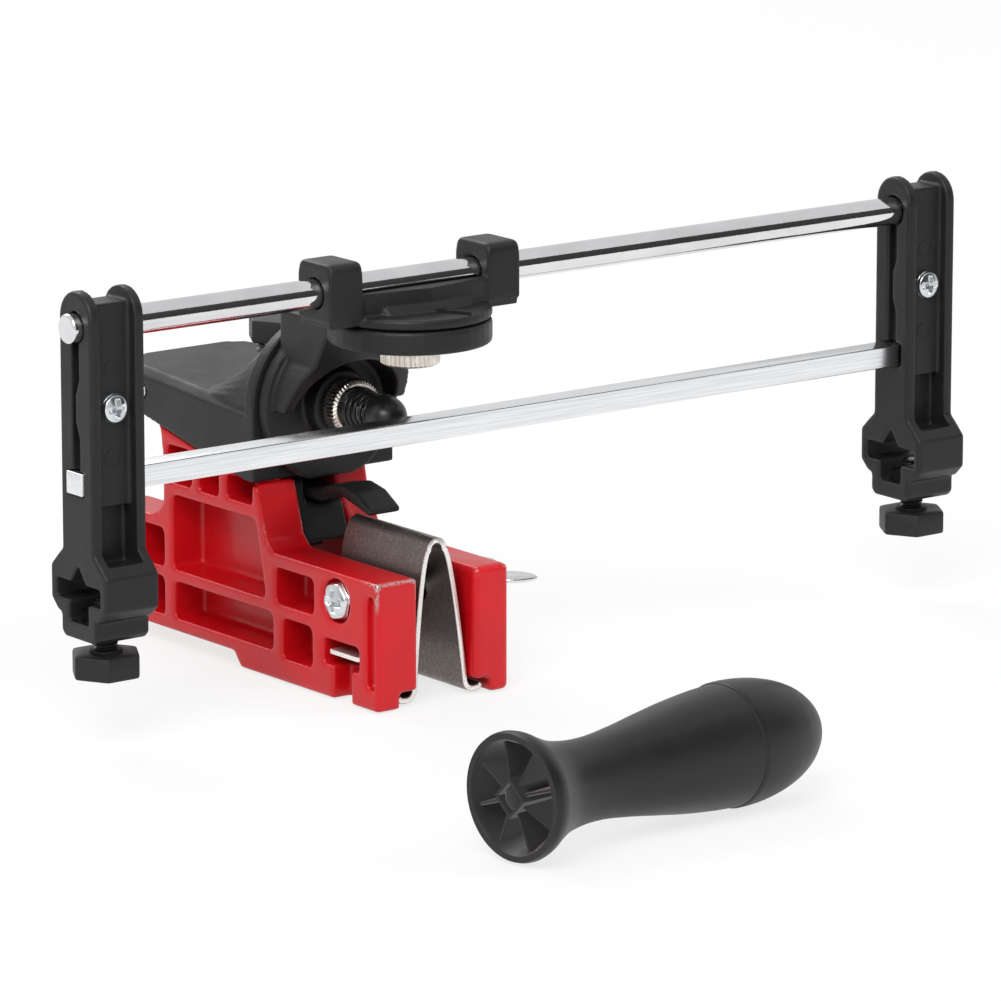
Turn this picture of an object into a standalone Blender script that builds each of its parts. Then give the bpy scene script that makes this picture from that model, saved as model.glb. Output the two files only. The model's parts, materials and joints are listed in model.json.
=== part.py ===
"""Bar mounted chainsaw sharpener, modelled as an assembly of separate pieces.

Units are metres and +Z is up. The origin is the middle of the bar stop face
between the two jaws, +X runs along the guide rod, and -Y is the file's side.
"""
import bpy
import bmesh
from math import cos, pi, radians, sin, sqrt, tan, tau
from mathutils import Vector

# Start from an empty file
for old in list(bpy.data.objects):
    bpy.data.objects.remove(old, do_unlink=True)

# Fits and mesh fineness
seat_gap = 0.0003          # between pieces that touch
run_gap = 0.0004           # between pieces that slide or turn on each other
overrun = 0.0020           # how far a cutter runs past a face
bite = 0.0004              # how far a joined shape sinks into its neighbour
round_sides = 24
small_sides = 16
corner_steps = 3

# Main places, measured from the bar stop
rod_forward = 0.0515       # guide rod plane in front of the origin
rod_height = 0.0625        # guide rod axis above the bar stop
rest_drop = 0.0230         # resting plane below the bar stop
rod_y = -rod_forward
rod_z = rod_height
rest_z = -rest_drop

# Guide rod, lower bar and posts
post_spacing = 0.2100      # between the middles of the two posts
frame_shift = 0.0298       # middle of the file frame to the right of the jaws
rod_radius = 0.0030
rod_overhang = 0.0021      # rod beyond each post
bar_width = 0.0054
bar_height = 0.0046
bar_drop = 0.0311          # lower bar's middle below the rod
bar_overhang = 0.0007
end_chamfer = 0.0004
post_width = 0.0128        # along the rod
post_depth = 0.0112
post_top = 0.0073          # top of the rounded end above the rod
post_plate = 0.0023        # flange on each side of the channel
channel_depth = 0.0033
channel_top = 0.0048       # top of the channel's web above the rod
pocket_step_drop = 0.0361  # deeper part of the channel, below the rod
pocket_extra = 0.0012
head_width = 0.0196        # file socket head, front to back
shoulder_drop = 0.0450     # foot of the column, where the head starts, below the rod
pocket_floor_drop = 0.0030 # these five are below the shoulder
head_top_drop = 0.0040
socket_drop = 0.0083       # middle of the file socket
head_bottom_drop = 0.0130
lip_bottom_drop = 0.0180
lip_width = 0.0124
head_round = 0.0022
bar_side_gap = 0.0002      # post's grip on the rod and the bar
slit_wide = 0.0024
slit_narrow = 0.0012
slit_bulge_half = 0.0060
clamp_drop = 0.0162        # post screw below the rod
clamp_head_radius = 0.00315
clamp_head_height = 0.0026
clamp_shank_radius = 0.0017
clamp_nut_across = 0.0060
clamp_nut_height = 0.0024
socket_width = 0.0154
socket_height = 0.0038
socket_point = 0.0035
socket_point_half = 0.0026
socket_foot_half = 0.0033
socket_foot = 0.0043

# Screws with black hexagonal knobs
screw_radius = 0.00245
screw_pitch = 0.0008
knob_across = 0.0130
knob_height = 0.0050
knob_ring_radius = 0.0033
knob_ring = 0.0006
knob_gap = 0.0030          # bare screw between a file knob and its post
knob_chamfer = 0.0005
knob_bore_depth = 0.0034
nut_across = 0.0080
nut_height = 0.0027
file_screw_tip = 0.0043    # tip above the floor of the file socket

# Jaws
slot_width = 0.0146
left_jaw_thickness = 0.0102
right_jaw_thickness = 0.0088
jaw_forward = 0.0122       # jaw's front face in front of the rod plane
jaw_length = 0.0962
ear_radius = 0.0034
ear_turn = pi * 0.62        # where the ear's arc meets the tower's sloping top
tower_in_arm = 0.0026      # tower's front above the flange's flat bottom, inside the arm
jaw_rise = 0.0565          # resting plane to the top of the hinge ear
jaw_edge = 0.0008
jaw_wall = 0.0022          # wall left behind each pocket
pocket_round = 0.0012
hinge_along_share = 0.860
hinge_pin_radius = 0.0016
hinge_pin_overhang = 0.0006
clamp_bolt_back = 0.0021   # front clamp bolt behind the rod plane
clamp_bolt_drop = 0.0023   # below the bar stop
rear_bolt_share = 0.938
bolt_radius = 0.00245
bolt_head_radius = 0.0039
bolt_head_height = 0.0035
bolt_sink_radius = 0.0046
bolt_sink_depth = 0.0022
wing_hub_radius = 0.0044
wing_hub_top_radius = 0.0034
wing_hub_length = 0.0062
wing_span = 0.0105
wing_rise = 0.0170
wing_thickness = 0.0020
bolt_past_nut = 0.0016
window_back = 0.0067       # window for the spring's tab, behind the rod plane
window_front = 0.0056      # and in front of it
window_top_drop = 0.0108   # below the bar stop
window_high = 0.0052
groove_half = 0.0030
groove_depth = 0.0046
finger_half = 0.0013       # oblong recess at the jaw's front corner
finger_inset = 0.0026
finger_high = 0.0195
finger_low = 0.0042
finger_depth = 0.0022

# Jaw outlines: shares of jaw_length from the front and of jaw_rise from the rest plane
step_start_share = 0.501
step_end_share = 0.528
rear_bottom_share = 0.055
jaw_top_share = 0.473
ledge_share = 0.475
ledge_foot_shares = (0.842, 0.475)
tower_rear_shares = ((0.810, 0.500), (0.790, 0.540), (0.790, 0.700), (0.800, 0.815))
left_tower_foot_shares = ((0.439, 0.705), (0.403, 0.510), (0.378, 0.473))
right_tower_foot_shares = ((0.511, 0.700), (0.500, 0.611), (0.459, 0.496), (0.433, 0.473))
pocket_corner_shares = (
    ((0.406, 0.292), (0.756, 0.292), (0.756, 0.573), (0.444, 0.577)),
    ((0.381, 0.106), (0.751, 0.106), (0.751, 0.244), (0.381, 0.244)),
    ((0.682, 0.621), (0.770, 0.621), (0.776, 0.759), (0.682, 0.759)),
    ((0.580, 0.619), (0.656, 0.619), (0.656, 0.747), (0.580, 0.747)),
    ((0.789, 0.289), (0.875, 0.289), (0.875, 0.434), (0.789, 0.434)),
    ((0.789, 0.106), (0.875, 0.106), (0.875, 0.250), (0.789, 0.250)),
    ((0.231, 0.287), (0.371, 0.287), (0.371, 0.421), (0.231, 0.421)),
    ((0.238, 0.088), (0.346, 0.088), (0.346, 0.237), (0.238, 0.237)),
)

left_tower_pocket_shares = (
    ((0.455, 0.625), (0.552, 0.625), (0.552, 0.715), (0.455, 0.715)),
)

# Spreader spring
spring_sheet = 0.0009
spring_length = 0.0275
spring_front = 0.0100      # its front edge in front of the rod plane
ridge_height = 0.0109      # top of the fold above the bar stop
ridge_shift = -0.0008
ridge_radius = 0.0011
foot_reach = 0.0040
foot_radius = 0.0013
foot_lift = 0.0003
foot_room = 0.0004
leg_bow_share = 0.72
leg_steps = 8
fold_steps = 4
tab_width = 0.0104
tab_inset = 0.0007
bolt_hole_gap = 0.0006

# Bar stop block and chain pawl
block_half = 0.0150
block_height = 0.0255
block_right = 0.0046
pawl_pivot_front = 0.0085
pawl_pivot_height = 0.0140
pawl_hub_radius = 0.0030
pawl_width = 0.0080
pawl_right = 0.0043
pawl_reach = 0.0340        # pivot to the tip of the tongue
pawl_pin_radius = 0.0011
pawl_pin_seat = 0.0014
tongue_top_shares = ((0.20, 0.005), (0.47, 0.015), (0.53, 0.056), (0.706, 0.091), (0.853, 0.062))
tongue_tip_shares = ((1.00, -0.024), (0.991, -0.059))
tongue_under_shares = ((0.809, -0.009), (0.653, 0.028), (0.56, -0.005), (0.48, -0.055), (0.20, -0.062))

# Swing arm
arm_half = 0.0179
arm_wall = 0.00135
arm_roof = 0.0012
arm_bevel = 0.00175
arm_tail = 0.0095          # behind the hinge pin
tail_round = 0.0060
deck_below_tilt = 0.0002
deck_above_pin = 0.0050
skirt_below_pin = 0.0051
tilt_drop = 0.0298         # tilt axis below the rod
seam_back = 0.0300         # arm's flange face behind the rod plane
flange_thickness = 0.0030
flange_drop = 0.0154       # flange's flat bottom below the tilt axis
blend_length = 0.0188      # sloping block between the flange's arc and the deck
blend_tip_inset = 0.0018
height_screw_back = 0.01185 # height screw behind the arm's flange
height_seat_drop = 0.0275  # spring's seat below the rod
height_seat_radius = 0.0080
height_knob_drop = 0.0195  # knob's underside below the rod
height_spring_radius = 0.0047
height_spring_wire = 0.0009
height_spring_curls = 4

# Tilt bolt, its lock nut and the bumper
tilt_radius = 0.0029
tilt_head_radius = 0.0050
tilt_head_height = 0.0030
lock_nut_radius = 0.00615
lock_nut_height = 0.0045
knurl_depth = 0.0003
knurl_count = 30
tilt_nut_back = 0.0180     # nut's front face behind the rod plane
bumper_pin_radius = 0.0013
bumper_radius = 0.0044
bumper_back = 0.0083       # middle of the dome behind the rod plane
bumper_skirt = 0.0016
bumper_travel = 0.0025
dome_steps = 4
bumper_spring_wire = 0.0008
bumper_spring_wide = 0.0045
bumper_spring_slim = 0.0034
bumper_spring_curls = 5
curl_points = 9

# Angle bracket
disc_radius = 0.0168       # of the platform and the carriage's base
platform_top_drop = 0.0076
platform_thickness = 0.0049
plate_radius = 0.0168
plate_thickness = 0.0030
plate_flat_drop = 0.0156
arch_outer = 0.0154
arch_wide = 0.0128
arch_high = 0.0104
neck_half = 0.0115
neck_front = 0.0110        # behind the rod plane
neck_top_drop = 0.0092
nut_boss_radius = 0.0074
gusset_front = 0.0130
gusset_foot_back = 0.0235
gusset_foot_drop = 0.0310

# Guide carriage and its swivel
lug_half = 0.00565
lug_inner = 0.0157
lug_outer = 0.0239
lug_top = 0.0064
lug_bottom_drop = 0.0054
lug_round = 0.0016
base_thickness = 0.0021
base_pad_radius = 0.0128
base_pad_rise = 0.0015
wall_kink = 0.0076
wall_front = 0.0052
wall_back = 0.0037
wall_top_drop = 0.0004
swivel_head_radius = 0.0042
swivel_head_height = 0.0016

# File handle, lying beside the tool
handle_length = 0.0795
handle_x = -0.0631         # middle of its open end
handle_y = -0.1680
handle_turn = radians(6)
handle_disc_radius = 0.0126
handle_profile_shares = (
    (0.000, 0.950), (0.015, 1.000), (0.040, 0.990), (0.080, 0.900), (0.130, 0.770),
    (0.200, 0.690), (0.290, 0.680), (0.390, 0.750), (0.500, 0.870), (0.600, 0.950), (0.700, 0.985),
)
cap_profile_shares = (
    (0.704, 0.965), (0.780, 0.960), (0.850, 0.880), (0.910, 0.740), (0.960, 0.500), (0.990, 0.240), (1.000, 0.060),
)
cap_spigot_radius = 0.0075
cap_spigot_length = 0.0080
handle_rim = 0.0017
handle_recess = 0.0070
handle_hub_radius = 0.0036
handle_ribs = 9
rib_thickness = 0.0010
tang_hole_half = 0.0016
tang_hole_depth = 0.0300

# Places worked out from the sizes above
jaw_front_y = rod_y - jaw_forward
hinge_y = jaw_front_y + hinge_along_share * jaw_length
hinge_z = rest_z + jaw_rise - ear_radius
tilt_z = rod_z - tilt_drop
seam_y = rod_y + seam_back
flange_back_y = seam_y + seat_gap / 2 + flange_thickness
flange_bottom_z = tilt_z - flange_drop
shoulder_z = rod_z - shoulder_drop
left_post_x = frame_shift - post_spacing / 2
right_post_x = frame_shift + post_spacing / 2
bolt_y = rod_y + clamp_bolt_back
bolt_z = -clamp_bolt_drop
rear_bolt_y = jaw_front_y + rear_bolt_share * jaw_length
rear_bolt_z = bolt_z
height_y = flange_back_y + height_screw_back
block_top_z = block_height
left_inner_x = -slot_width / 2
right_inner_x = slot_width / 2
platform_top_z = rod_z - platform_top_drop
platform_bottom_z = platform_top_z - platform_thickness
pawl_y = -pawl_pivot_front
pawl_z = pawl_pivot_height


# Materials

def material(name, colour, roughness, metallic=0.0):
    """A Principled material with the piece's colour."""
    made = bpy.data.materials.new(name)
    made.use_nodes = True
    shader = made.node_tree.nodes["Principled BSDF"]
    shader.inputs["Base Color"].default_value = (*colour, 1.0)
    shader.inputs["Roughness"].default_value = roughness
    shader.inputs["Metallic"].default_value = metallic
    made.diffuse_color = (*colour, 1.0)
    return made


red_paint = material("red_paint", (0.52, 0.008, 0.020), 0.28)
black_nylon = material("black_nylon", (0.022, 0.022, 0.023), 0.55)
black_rubber = material("black_rubber", (0.010, 0.010, 0.011), 0.38)
chrome = material("chrome", (0.80, 0.80, 0.80), 0.10, 1.0)
bright_steel = material("bright_steel", (0.62, 0.63, 0.64), 0.32, 1.0)
nickel = material("nickel", (0.66, 0.62, 0.56), 0.28, 1.0)
zinc = material("zinc", (0.60, 0.61, 0.60), 0.30, 1.0)
spring_steel = material("spring_steel", (0.10, 0.085, 0.075), 0.42, 1.0)
black_wire = material("black_wire", (0.015, 0.015, 0.016), 0.35, 1.0)
handle_plastic = material("handle_plastic", (0.020, 0.020, 0.021), 0.45)


# Outlines, as lists of pairs

def circle(centre, radius, sides=round_sides, turn=0.0):
    """Points round a circle, which may also be a hexagon."""
    across, up = centre
    angles = [turn + tau * index / sides for index in range(sides)]
    return [(across + radius * cos(angle), up + radius * sin(angle)) for angle in angles]


def hexagon(centre, across_flats, turn=0.0):
    """A hexagon from the width between its flats."""
    return circle(centre, across_flats / sqrt(3), 6, turn)


def knurled(centre, radius, depth, count):
    """A circle with straight flutes."""
    points = []
    for index in range(count * 2):
        reach = radius if index % 2 == 0 else radius - depth
        angle = pi * index / count
        points.append((centre[0] + reach * cos(angle), centre[1] + reach * sin(angle)))
    return points


def rectangle(low, high):
    """Corners of a rectangle."""
    return [(low[0], low[1]), (high[0], low[1]), (high[0], high[1]), (low[0], high[1])]


def rounded(corners, radius, steps=corner_steps):
    """The outline with each corner turned into an arc."""
    points = []
    for index, corner in enumerate(corners):
        here = Vector(corner)
        before = (Vector(corners[index - 1]) - here).normalized()
        after = (Vector(corners[(index + 1) % len(corners)]) - here).normalized()
        half = before.angle(after) / 2
        centre = here + (before + after).normalized() * (radius / sin(half))
        start = here + before * (radius / tan(half)) - centre
        end = here + after * (radius / tan(half)) - centre
        for step in range(steps + 1):
            points.append(tuple(centre + start.slerp(end, step / steps) * radius))
    return points


def arc(centre, radius, start, end, steps):
    """Points along an arc between two angles."""
    angles = [start + (end - start) * step / steps for step in range(steps + 1)]
    return [(centre[0] + radius * cos(angle), centre[1] + radius * sin(angle)) for angle in angles]


# Solids

def section(outline, offset, axis):
    """An outline's points in space, at an offset along one axis."""
    if axis == "X":
        return [Vector((offset, first, second)) for first, second in outline]
    if axis == "Y":
        return [Vector((first, offset, second)) for first, second in outline]
    return [Vector((first, second, offset)) for first, second in outline]


def loft(sections, shape=None):
    """A closed solid through sections with equal numbers of points."""
    shape = shape or bmesh.new()
    rings = [[shape.verts.new(point) for point in ring] for ring in sections]
    faces = [shape.faces.new(rings[0]), shape.faces.new(rings[-1])]
    for lower, upper in zip(rings, rings[1:]):
        for index in range(len(lower)):
            after = (index + 1) % len(lower)
            faces.append(shape.faces.new((lower[index], lower[after], upper[after], upper[index])))
    bmesh.ops.recalc_face_normals(shape, faces=faces)
    return shape


def prism(outline, low, high, axis, shape=None):
    """An outline carried straight along one axis."""
    return loft([section(outline, low, axis), section(outline, high, axis)], shape)


def turned(profile, centre, axis, sides=round_sides, shape=None):
    """A solid of revolution from pairs of place along the axis and radius."""
    return loft([section(circle(centre, radius, sides), along, axis) for along, radius in profile], shape)


def block(low, high, shape=None):
    """A plain box between two corners."""
    return prism(rectangle(low[:2], high[:2]), low[2], high[2], "Z", shape)


# Objects

def pivot(name, place, parent=None):
    """An empty on a joint's axis."""
    empty = bpy.data.objects.new(name, None)
    bpy.context.collection.objects.link(empty)
    empty.empty_display_size = rod_radius
    empty["place"] = place
    empty.location = place
    if parent:
        empty.parent = parent
        empty.location = Vector(place) - Vector(parent["place"])
    return empty


def finish_mesh(name, shape):
    """A mesh with its round faces shaded smooth."""
    mesh = bpy.data.meshes.new(name)
    shape.to_mesh(mesh)
    shape.free()
    mesh.shade_smooth()
    mesh.set_sharp_from_angle(angle=radians(35))
    return mesh


def piece(name, shape, finish, carrier):
    """A named sub-part whose origin is its carrier's place."""
    bmesh.ops.translate(shape, verts=shape.verts, vec=-Vector(carrier["place"]))
    made = bpy.data.objects.new(name, finish_mesh(name, shape))
    bpy.context.collection.objects.link(made)
    made.data.materials.append(finish)
    made.parent = carrier
    return made


def helper(name, shape):
    """A hidden shape that cuts or joins a piece."""
    made = bpy.data.objects.new(name, finish_mesh(name, shape))
    bpy.context.collection.objects.link(made)
    made.hide_render = True
    made.display_type = "WIRE"
    return made


def combine(target, shape, label, operation):
    """Cut a shape from a piece or join it on."""
    modifier = target.modifiers.new(label, "BOOLEAN")
    modifier.operation = operation
    modifier.solver = "EXACT"
    modifier.object = helper(f"{target.name}_{label}", shape)


def cut(target, shape, label):
    """Take a shape away from a piece."""
    combine(target, shape, label, "DIFFERENCE")


def add(target, shape, label):
    """Join a shape to a piece."""
    combine(target, shape, label, "UNION")


def soften(target, width, segments=1, angle=40.0):
    """Bevel the sharp edges that the piece has so far."""
    modifier = target.modifiers.new("edges", "BEVEL")
    modifier.width = width
    modifier.segments = segments
    modifier.limit_method = "ANGLE"
    modifier.angle_limit = radians(angle)


def coil(name, finish, carrier, axis, start, end, radii, wire, curls):
    """An open coil spring, one unbroken tube along a helix."""
    count = curls * curl_points
    first = Vector(start) - Vector(carrier["place"])
    run = Vector(end) - Vector(start)
    points = []
    for index in range(count + 1):
        share = index / count
        angle = tau * curls * share
        radius = radii[0] + (radii[1] - radii[0]) * share
        across = (radius * cos(angle), radius * sin(angle))
        points.append(first + run * share + section([across], 0, axis)[0])
    curve = bpy.data.curves.new(name, "CURVE")
    curve.dimensions = "3D"
    curve.bevel_depth = wire / 2
    curve.bevel_resolution = 1
    curve.use_fill_caps = True
    spline = curve.splines.new("POLY")
    spline.points.add(count)
    for point, place in zip(spline.points, points):
        point.co = (*place, 1)
    made = bpy.data.objects.new(name, curve)
    bpy.context.collection.objects.link(made)
    curve.materials.append(finish)
    made.parent = carrier
    gaps = [(points[a] - points[b]).length for a in range(count) for b in range(a + curl_points - 2, count)]
    print(f"{name}: least gap to itself {(min(gaps) - wire) * 1000:.2f} mm")
    return made


# Pivots, one on each joint's axis
base = pivot("base_place", (0, 0, 0))
right_jaw_place = pivot("right_jaw_place", (right_inner_x, bolt_y, bolt_z), base)
front_nut_x = right_inner_x + right_jaw_thickness + seat_gap
front_nut_place = pivot("front_nut_place", (front_nut_x, bolt_y, bolt_z), right_jaw_place)
rear_nut_place = pivot("rear_nut_place", (front_nut_x, rear_bolt_y, rear_bolt_z), right_jaw_place)
pawl_place = pivot("pawl_place", (0, pawl_y, pawl_z), base)
arm_place = pivot("arm_place", (0, hinge_y, hinge_z), base)
height_place = pivot("height_place", (0, height_y, rod_z - height_knob_drop), arm_place)
tilt_place = pivot("tilt_place", (0, seam_y, tilt_z), arm_place)
bumper_place = pivot("bumper_place", (0, rod_y + bumper_back, tilt_z), tilt_place)
swivel_place = pivot("swivel_place", (0, rod_y, platform_top_z), tilt_place)
rod_place = pivot("rod_place", (frame_shift, rod_y, rod_z), swivel_place)
left_screw_place = pivot("left_screw_place", (left_post_x, rod_y, shoulder_z - lip_bottom_drop), rod_place)
right_screw_place = pivot("right_screw_place", (right_post_x, rod_y, shoulder_z - lip_bottom_drop), rod_place)
handle_place = pivot("handle_place", (handle_x, handle_y, rest_z), base)


# Jaws

def on_jaw(shares):
    """A place on the jaw's side from its shares."""
    return (jaw_front_y + shares[0] * jaw_length, rest_z + shares[1] * jaw_rise)


def jaw_outline(foot_shares):
    """Side view of a jaw with its tower and hinge ear."""
    ledge_z = flange_bottom_z - run_gap
    shoulder_front = on_jaw(foot_shares[0])[0]
    tower_face = max(flange_back_y + run_gap, shoulder_front)
    tower_top = ledge_z + tower_in_arm
    points = [on_jaw((0, 0)), on_jaw((step_start_share, 0)), on_jaw((step_end_share, rear_bottom_share))]
    points += [on_jaw((1, rear_bottom_share)), on_jaw((1, ledge_share)), on_jaw(ledge_foot_shares)]
    points += [on_jaw(shares) for shares in tower_rear_shares]
    points += arc((hinge_y, hinge_z), ear_radius, -pi / 4, ear_turn, 8)
    points += [(tower_face, tower_top), (tower_face, ledge_z)]
    if shoulder_front < tower_face:
        points.append((shoulder_front, ledge_z))
    points += [on_jaw(shares) for shares in foot_shares]
    points.append(on_jaw((0, jaw_top_share)))
    return points


def jaw_pockets(pockets, outer, inner, shape):
    """The cored pockets between the ribs of a jaw's outer face."""
    for corners in pockets:
        outline = rounded([on_jaw(shares) for shares in corners], pocket_round)
        prism(outline, outer, inner, "X", shape)
    return shape


def make_jaw(name, side, thickness, foot_shares, carrier):
    """One die-cast jaw; side is -1 for the left one and 1 for the right one."""
    inner = side * slot_width / 2
    outer = inner + side * thickness
    made = piece(name, prism(jaw_outline(foot_shares), inner, outer, "X"), red_paint, carrier)
    soften(made, jaw_edge, 1, 50.0)
    past = outer + side * overrun
    pocket_bottom = inner + side * jaw_wall
    pockets = pocket_corner_shares + (left_tower_pocket_shares if side < 0 else ())
    cut(made, jaw_pockets(pockets, past, pocket_bottom, bmesh.new()), "pockets")
    ear_outer = side * (arm_half - arm_wall - run_gap)
    skirt = arm_skirt_line(-run_gap)
    roof = [(skirt[1][0], hinge_z + jaw_rise), (skirt[0][0], hinge_z + jaw_rise)]
    if abs(ear_outer) < abs(outer):
        cut(made, prism(skirt + roof, ear_outer, past, "X"), "ear_step")
    holes = prism(circle((bolt_y, bolt_z), bolt_radius + run_gap, small_sides), inner - side * overrun, past, "X")
    prism(circle((rear_bolt_y, rear_bolt_z), bolt_radius + run_gap, small_sides), inner - side * overrun, past,
          "X", holes)
    prism(circle((hinge_y, hinge_z), hinge_pin_radius + run_gap / 4, small_sides), inner - side * overrun, past,
          "X", holes)
    cut(made, holes, "bolt_holes")
    if side < 0:
        sinks = prism(circle((bolt_y, bolt_z), bolt_sink_radius), outer - side * bolt_sink_depth, past, "X")
        prism(circle((rear_bolt_y, rear_bolt_z), bolt_sink_radius), outer - side * bolt_sink_depth, past, "X", sinks)
        cut(made, sinks, "bolt_sinks")
        pin_seat = inner + side * pawl_pin_seat
        seat = prism(circle((pawl_y, pawl_z), pawl_pin_radius + run_gap / 4, small_sides),
                     inner - side * overrun, pin_seat, "X")
        cut(made, seat, "pawl_pin_seat")
    window_z = bolt_z - window_top_drop + clamp_bolt_drop
    window = rectangle((rod_y - window_front, window_z - window_high), (rod_y + window_back, window_z))
    cut(made, prism(rounded(window, jaw_edge), inner - side * overrun, past, "X"), "window")
    groove = rectangle((rod_y - groove_half, rest_z - overrun), (rod_y + groove_half, window_z - window_high / 2))
    cut(made, prism(groove, outer - side * groove_depth, past, "X"), "groove")
    finger_y = jaw_front_y + finger_inset
    finger = rectangle((finger_y - finger_half, rest_z + finger_low),
                       (finger_y + finger_half, rest_z + finger_low + finger_high))
    cut(made, prism(rounded(finger, finger_half * 0.98), outer - side * finger_depth, past, "X"), "finger")
    notch_x = inner + side * (foot_reach + foot_room)
    notch_top = rest_z + foot_lift + spring_sheet + 2 * foot_room + foot_radius
    notch_back = rod_y - spring_front + spring_length + foot_room
    notch = rectangle((jaw_front_y - overrun, rest_z - overrun), (notch_back, notch_top))
    cut(made, prism(notch, inner - side * overrun, notch_x, "X"), "foot_notch")
    return made


def arm_skirt_line(lift):
    """Lower edge of the arm's sides: rear end first, then front end."""
    rear_y = hinge_y + arm_tail
    slope = (hinge_z - skirt_below_pin - flange_bottom_z) / (hinge_y - flange_back_y)
    rear_z = flange_bottom_z + slope * (rear_y - flange_back_y)
    front_y = seam_y - seat_gap
    front_z = flange_bottom_z + slope * (front_y - flange_back_y)
    return [(rear_y, rear_z + lift), (front_y, front_z + lift)]


make_jaw("left_jaw", -1, left_jaw_thickness, left_tower_foot_shares, base)
make_jaw("right_jaw", 1, right_jaw_thickness, right_tower_foot_shares, right_jaw_place)


# Clamp bolts and wing nuts

def make_clamp_bolt(name, place_y, place_z):
    """Bolt through both jaws, head on the left, thread through the wing nut."""
    seat = left_inner_x - left_jaw_thickness + bolt_sink_depth - seat_gap
    tip = front_nut_x + wing_hub_length + bolt_past_nut
    shape = turned([(seat - bolt_head_height, bolt_head_radius - end_chamfer),
                    (seat - bolt_head_height + end_chamfer, bolt_head_radius),
                    (seat, bolt_head_radius), (seat, bolt_radius),
                    (tip - end_chamfer, bolt_radius), (tip, bolt_radius - end_chamfer)],
                   (place_y, place_z), "X")
    return piece(name, shape, zinc, base)


def make_wing_nut(name, place_y, place_z, carrier):
    """Wing nut with two ears swept away from the jaw."""
    far = front_nut_x + wing_hub_length
    profile = [(front_nut_x, wing_hub_radius), (front_nut_x + wing_hub_length / 3, wing_hub_radius),
               (far, wing_hub_top_radius)]
    made = piece(name, turned(profile, (place_y, place_z), "X"), chrome, carrier)
    for direction, label in ((-1, "front_wing"), (1, "back_wing")):
        root = place_y + direction * wing_hub_top_radius / 2
        tip = place_y + direction * wing_span
        outline = [(front_nut_x + wing_thickness, root), (front_nut_x + wing_rise / 2, tip - direction * wing_thickness),
                   (front_nut_x + wing_rise * 0.75, tip), (front_nut_x + wing_rise, tip - direction * wing_thickness / 2),
                   (front_nut_x + wing_rise, tip - direction * wing_thickness * 2), (far, root)]
        shape = prism(outline, place_z - wing_thickness / 2, place_z + wing_thickness / 2, "Z")
        add(made, shape, label)
    bore = prism(circle((place_y, place_z), bolt_radius + run_gap / 4, small_sides),
                 front_nut_x - overrun, far + overrun, "X")
    cut(made, bore, "bore")
    return made


make_clamp_bolt("front_clamp_bolt", bolt_y, bolt_z)
make_clamp_bolt("rear_clamp_bolt", rear_bolt_y, rear_bolt_z)
make_wing_nut("front_wing_nut", bolt_y, bolt_z, front_nut_place)
make_wing_nut("rear_wing_nut", rear_bolt_y, rear_bolt_z, rear_nut_place)


# Spreader spring between the jaws

def spring_line():
    """Middle line of the bent sheet, from the left foot over the ridge to the right foot."""
    half = slot_width / 2 - seat_gap - spring_sheet / 2
    low = rest_z + foot_lift + spring_sheet / 2
    top = ridge_height - spring_sheet / 2
    knee = low + foot_radius
    line = []
    for side in (-1, 1):
        leg = [(side * (half + foot_reach), low + foot_radius / 2), (side * (half + foot_reach * 0.85), low)]
        leg += [(side * half + side * foot_radius * (1 - sin(angle)), low + foot_radius * (1 - cos(angle)))
                for angle in [pi / 2 * step / fold_steps for step in range(fold_steps + 1)]]
        fold_z = top - ridge_radius
        for step in range(1, leg_steps):
            share = step / leg_steps
            reach = ridge_radius + (half - ridge_radius) * (1 - share) ** leg_bow_share
            leg.append((side * reach + ridge_shift * share, knee + (fold_z - knee) * share))
        leg += [(ridge_shift + side * ridge_radius * cos(angle), fold_z + ridge_radius * sin(angle))
                for angle in [pi / 2 * step / fold_steps for step in range(fold_steps)]]
        line.append(leg)
    return line[0] + [(ridge_shift, top)] + line[1][::-1]


def sheet_outline(line, thickness):
    """Both faces of a thin strip that follows a line."""
    first, second = [], []
    for index, place in enumerate(line):
        here = Vector(place)
        before = Vector(line[max(index - 1, 0)])
        after = Vector(line[min(index + 1, len(line) - 1)])
        along = (after - before).normalized()
        side = Vector((-along.y, along.x)) * (thickness / 2)
        first.append(tuple(here + side))
        second.append(tuple(here - side))
    return first + second[::-1]


def make_spreader_spring():
    """Sheet spring folded over the front clamp bolt, with a tab into each jaw's window."""
    front = rod_y - spring_front
    shape = prism(sheet_outline(spring_line(), spring_sheet), front, front + spring_length, "Y")
    made = piece("spreader_spring", shape, spring_steel, base)
    hole = prism(circle((bolt_y, bolt_z), bolt_radius + bolt_hole_gap, small_sides),
                 -slot_width, slot_width, "X")
    cut(made, hole, "bolt_hole")
    tab_z = bolt_z + clamp_bolt_drop - window_top_drop - window_high / 2
    leg = slot_width / 2 - 2 * spring_sheet
    for side, thickness, label in ((-1, left_jaw_thickness, "left_tab"), (1, right_jaw_thickness, "right_tab")):
        tip = side * (slot_width / 2 + thickness - tab_inset)
        outline = [(side * leg, rod_y - tab_width / 2), (side * leg, rod_y + tab_width / 2),
                   (tip, rod_y + tab_width / 2), (tip, rod_y - tab_width / 2 + spring_sheet),
                   (tip - side * spring_sheet, rod_y - tab_width / 2)]
        add(made, prism(outline, tab_z - spring_sheet / 2, tab_z + spring_sheet / 2, "Z"), label)
    return made


make_spreader_spring()


# Bar stop block, pawl and their pin

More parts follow.
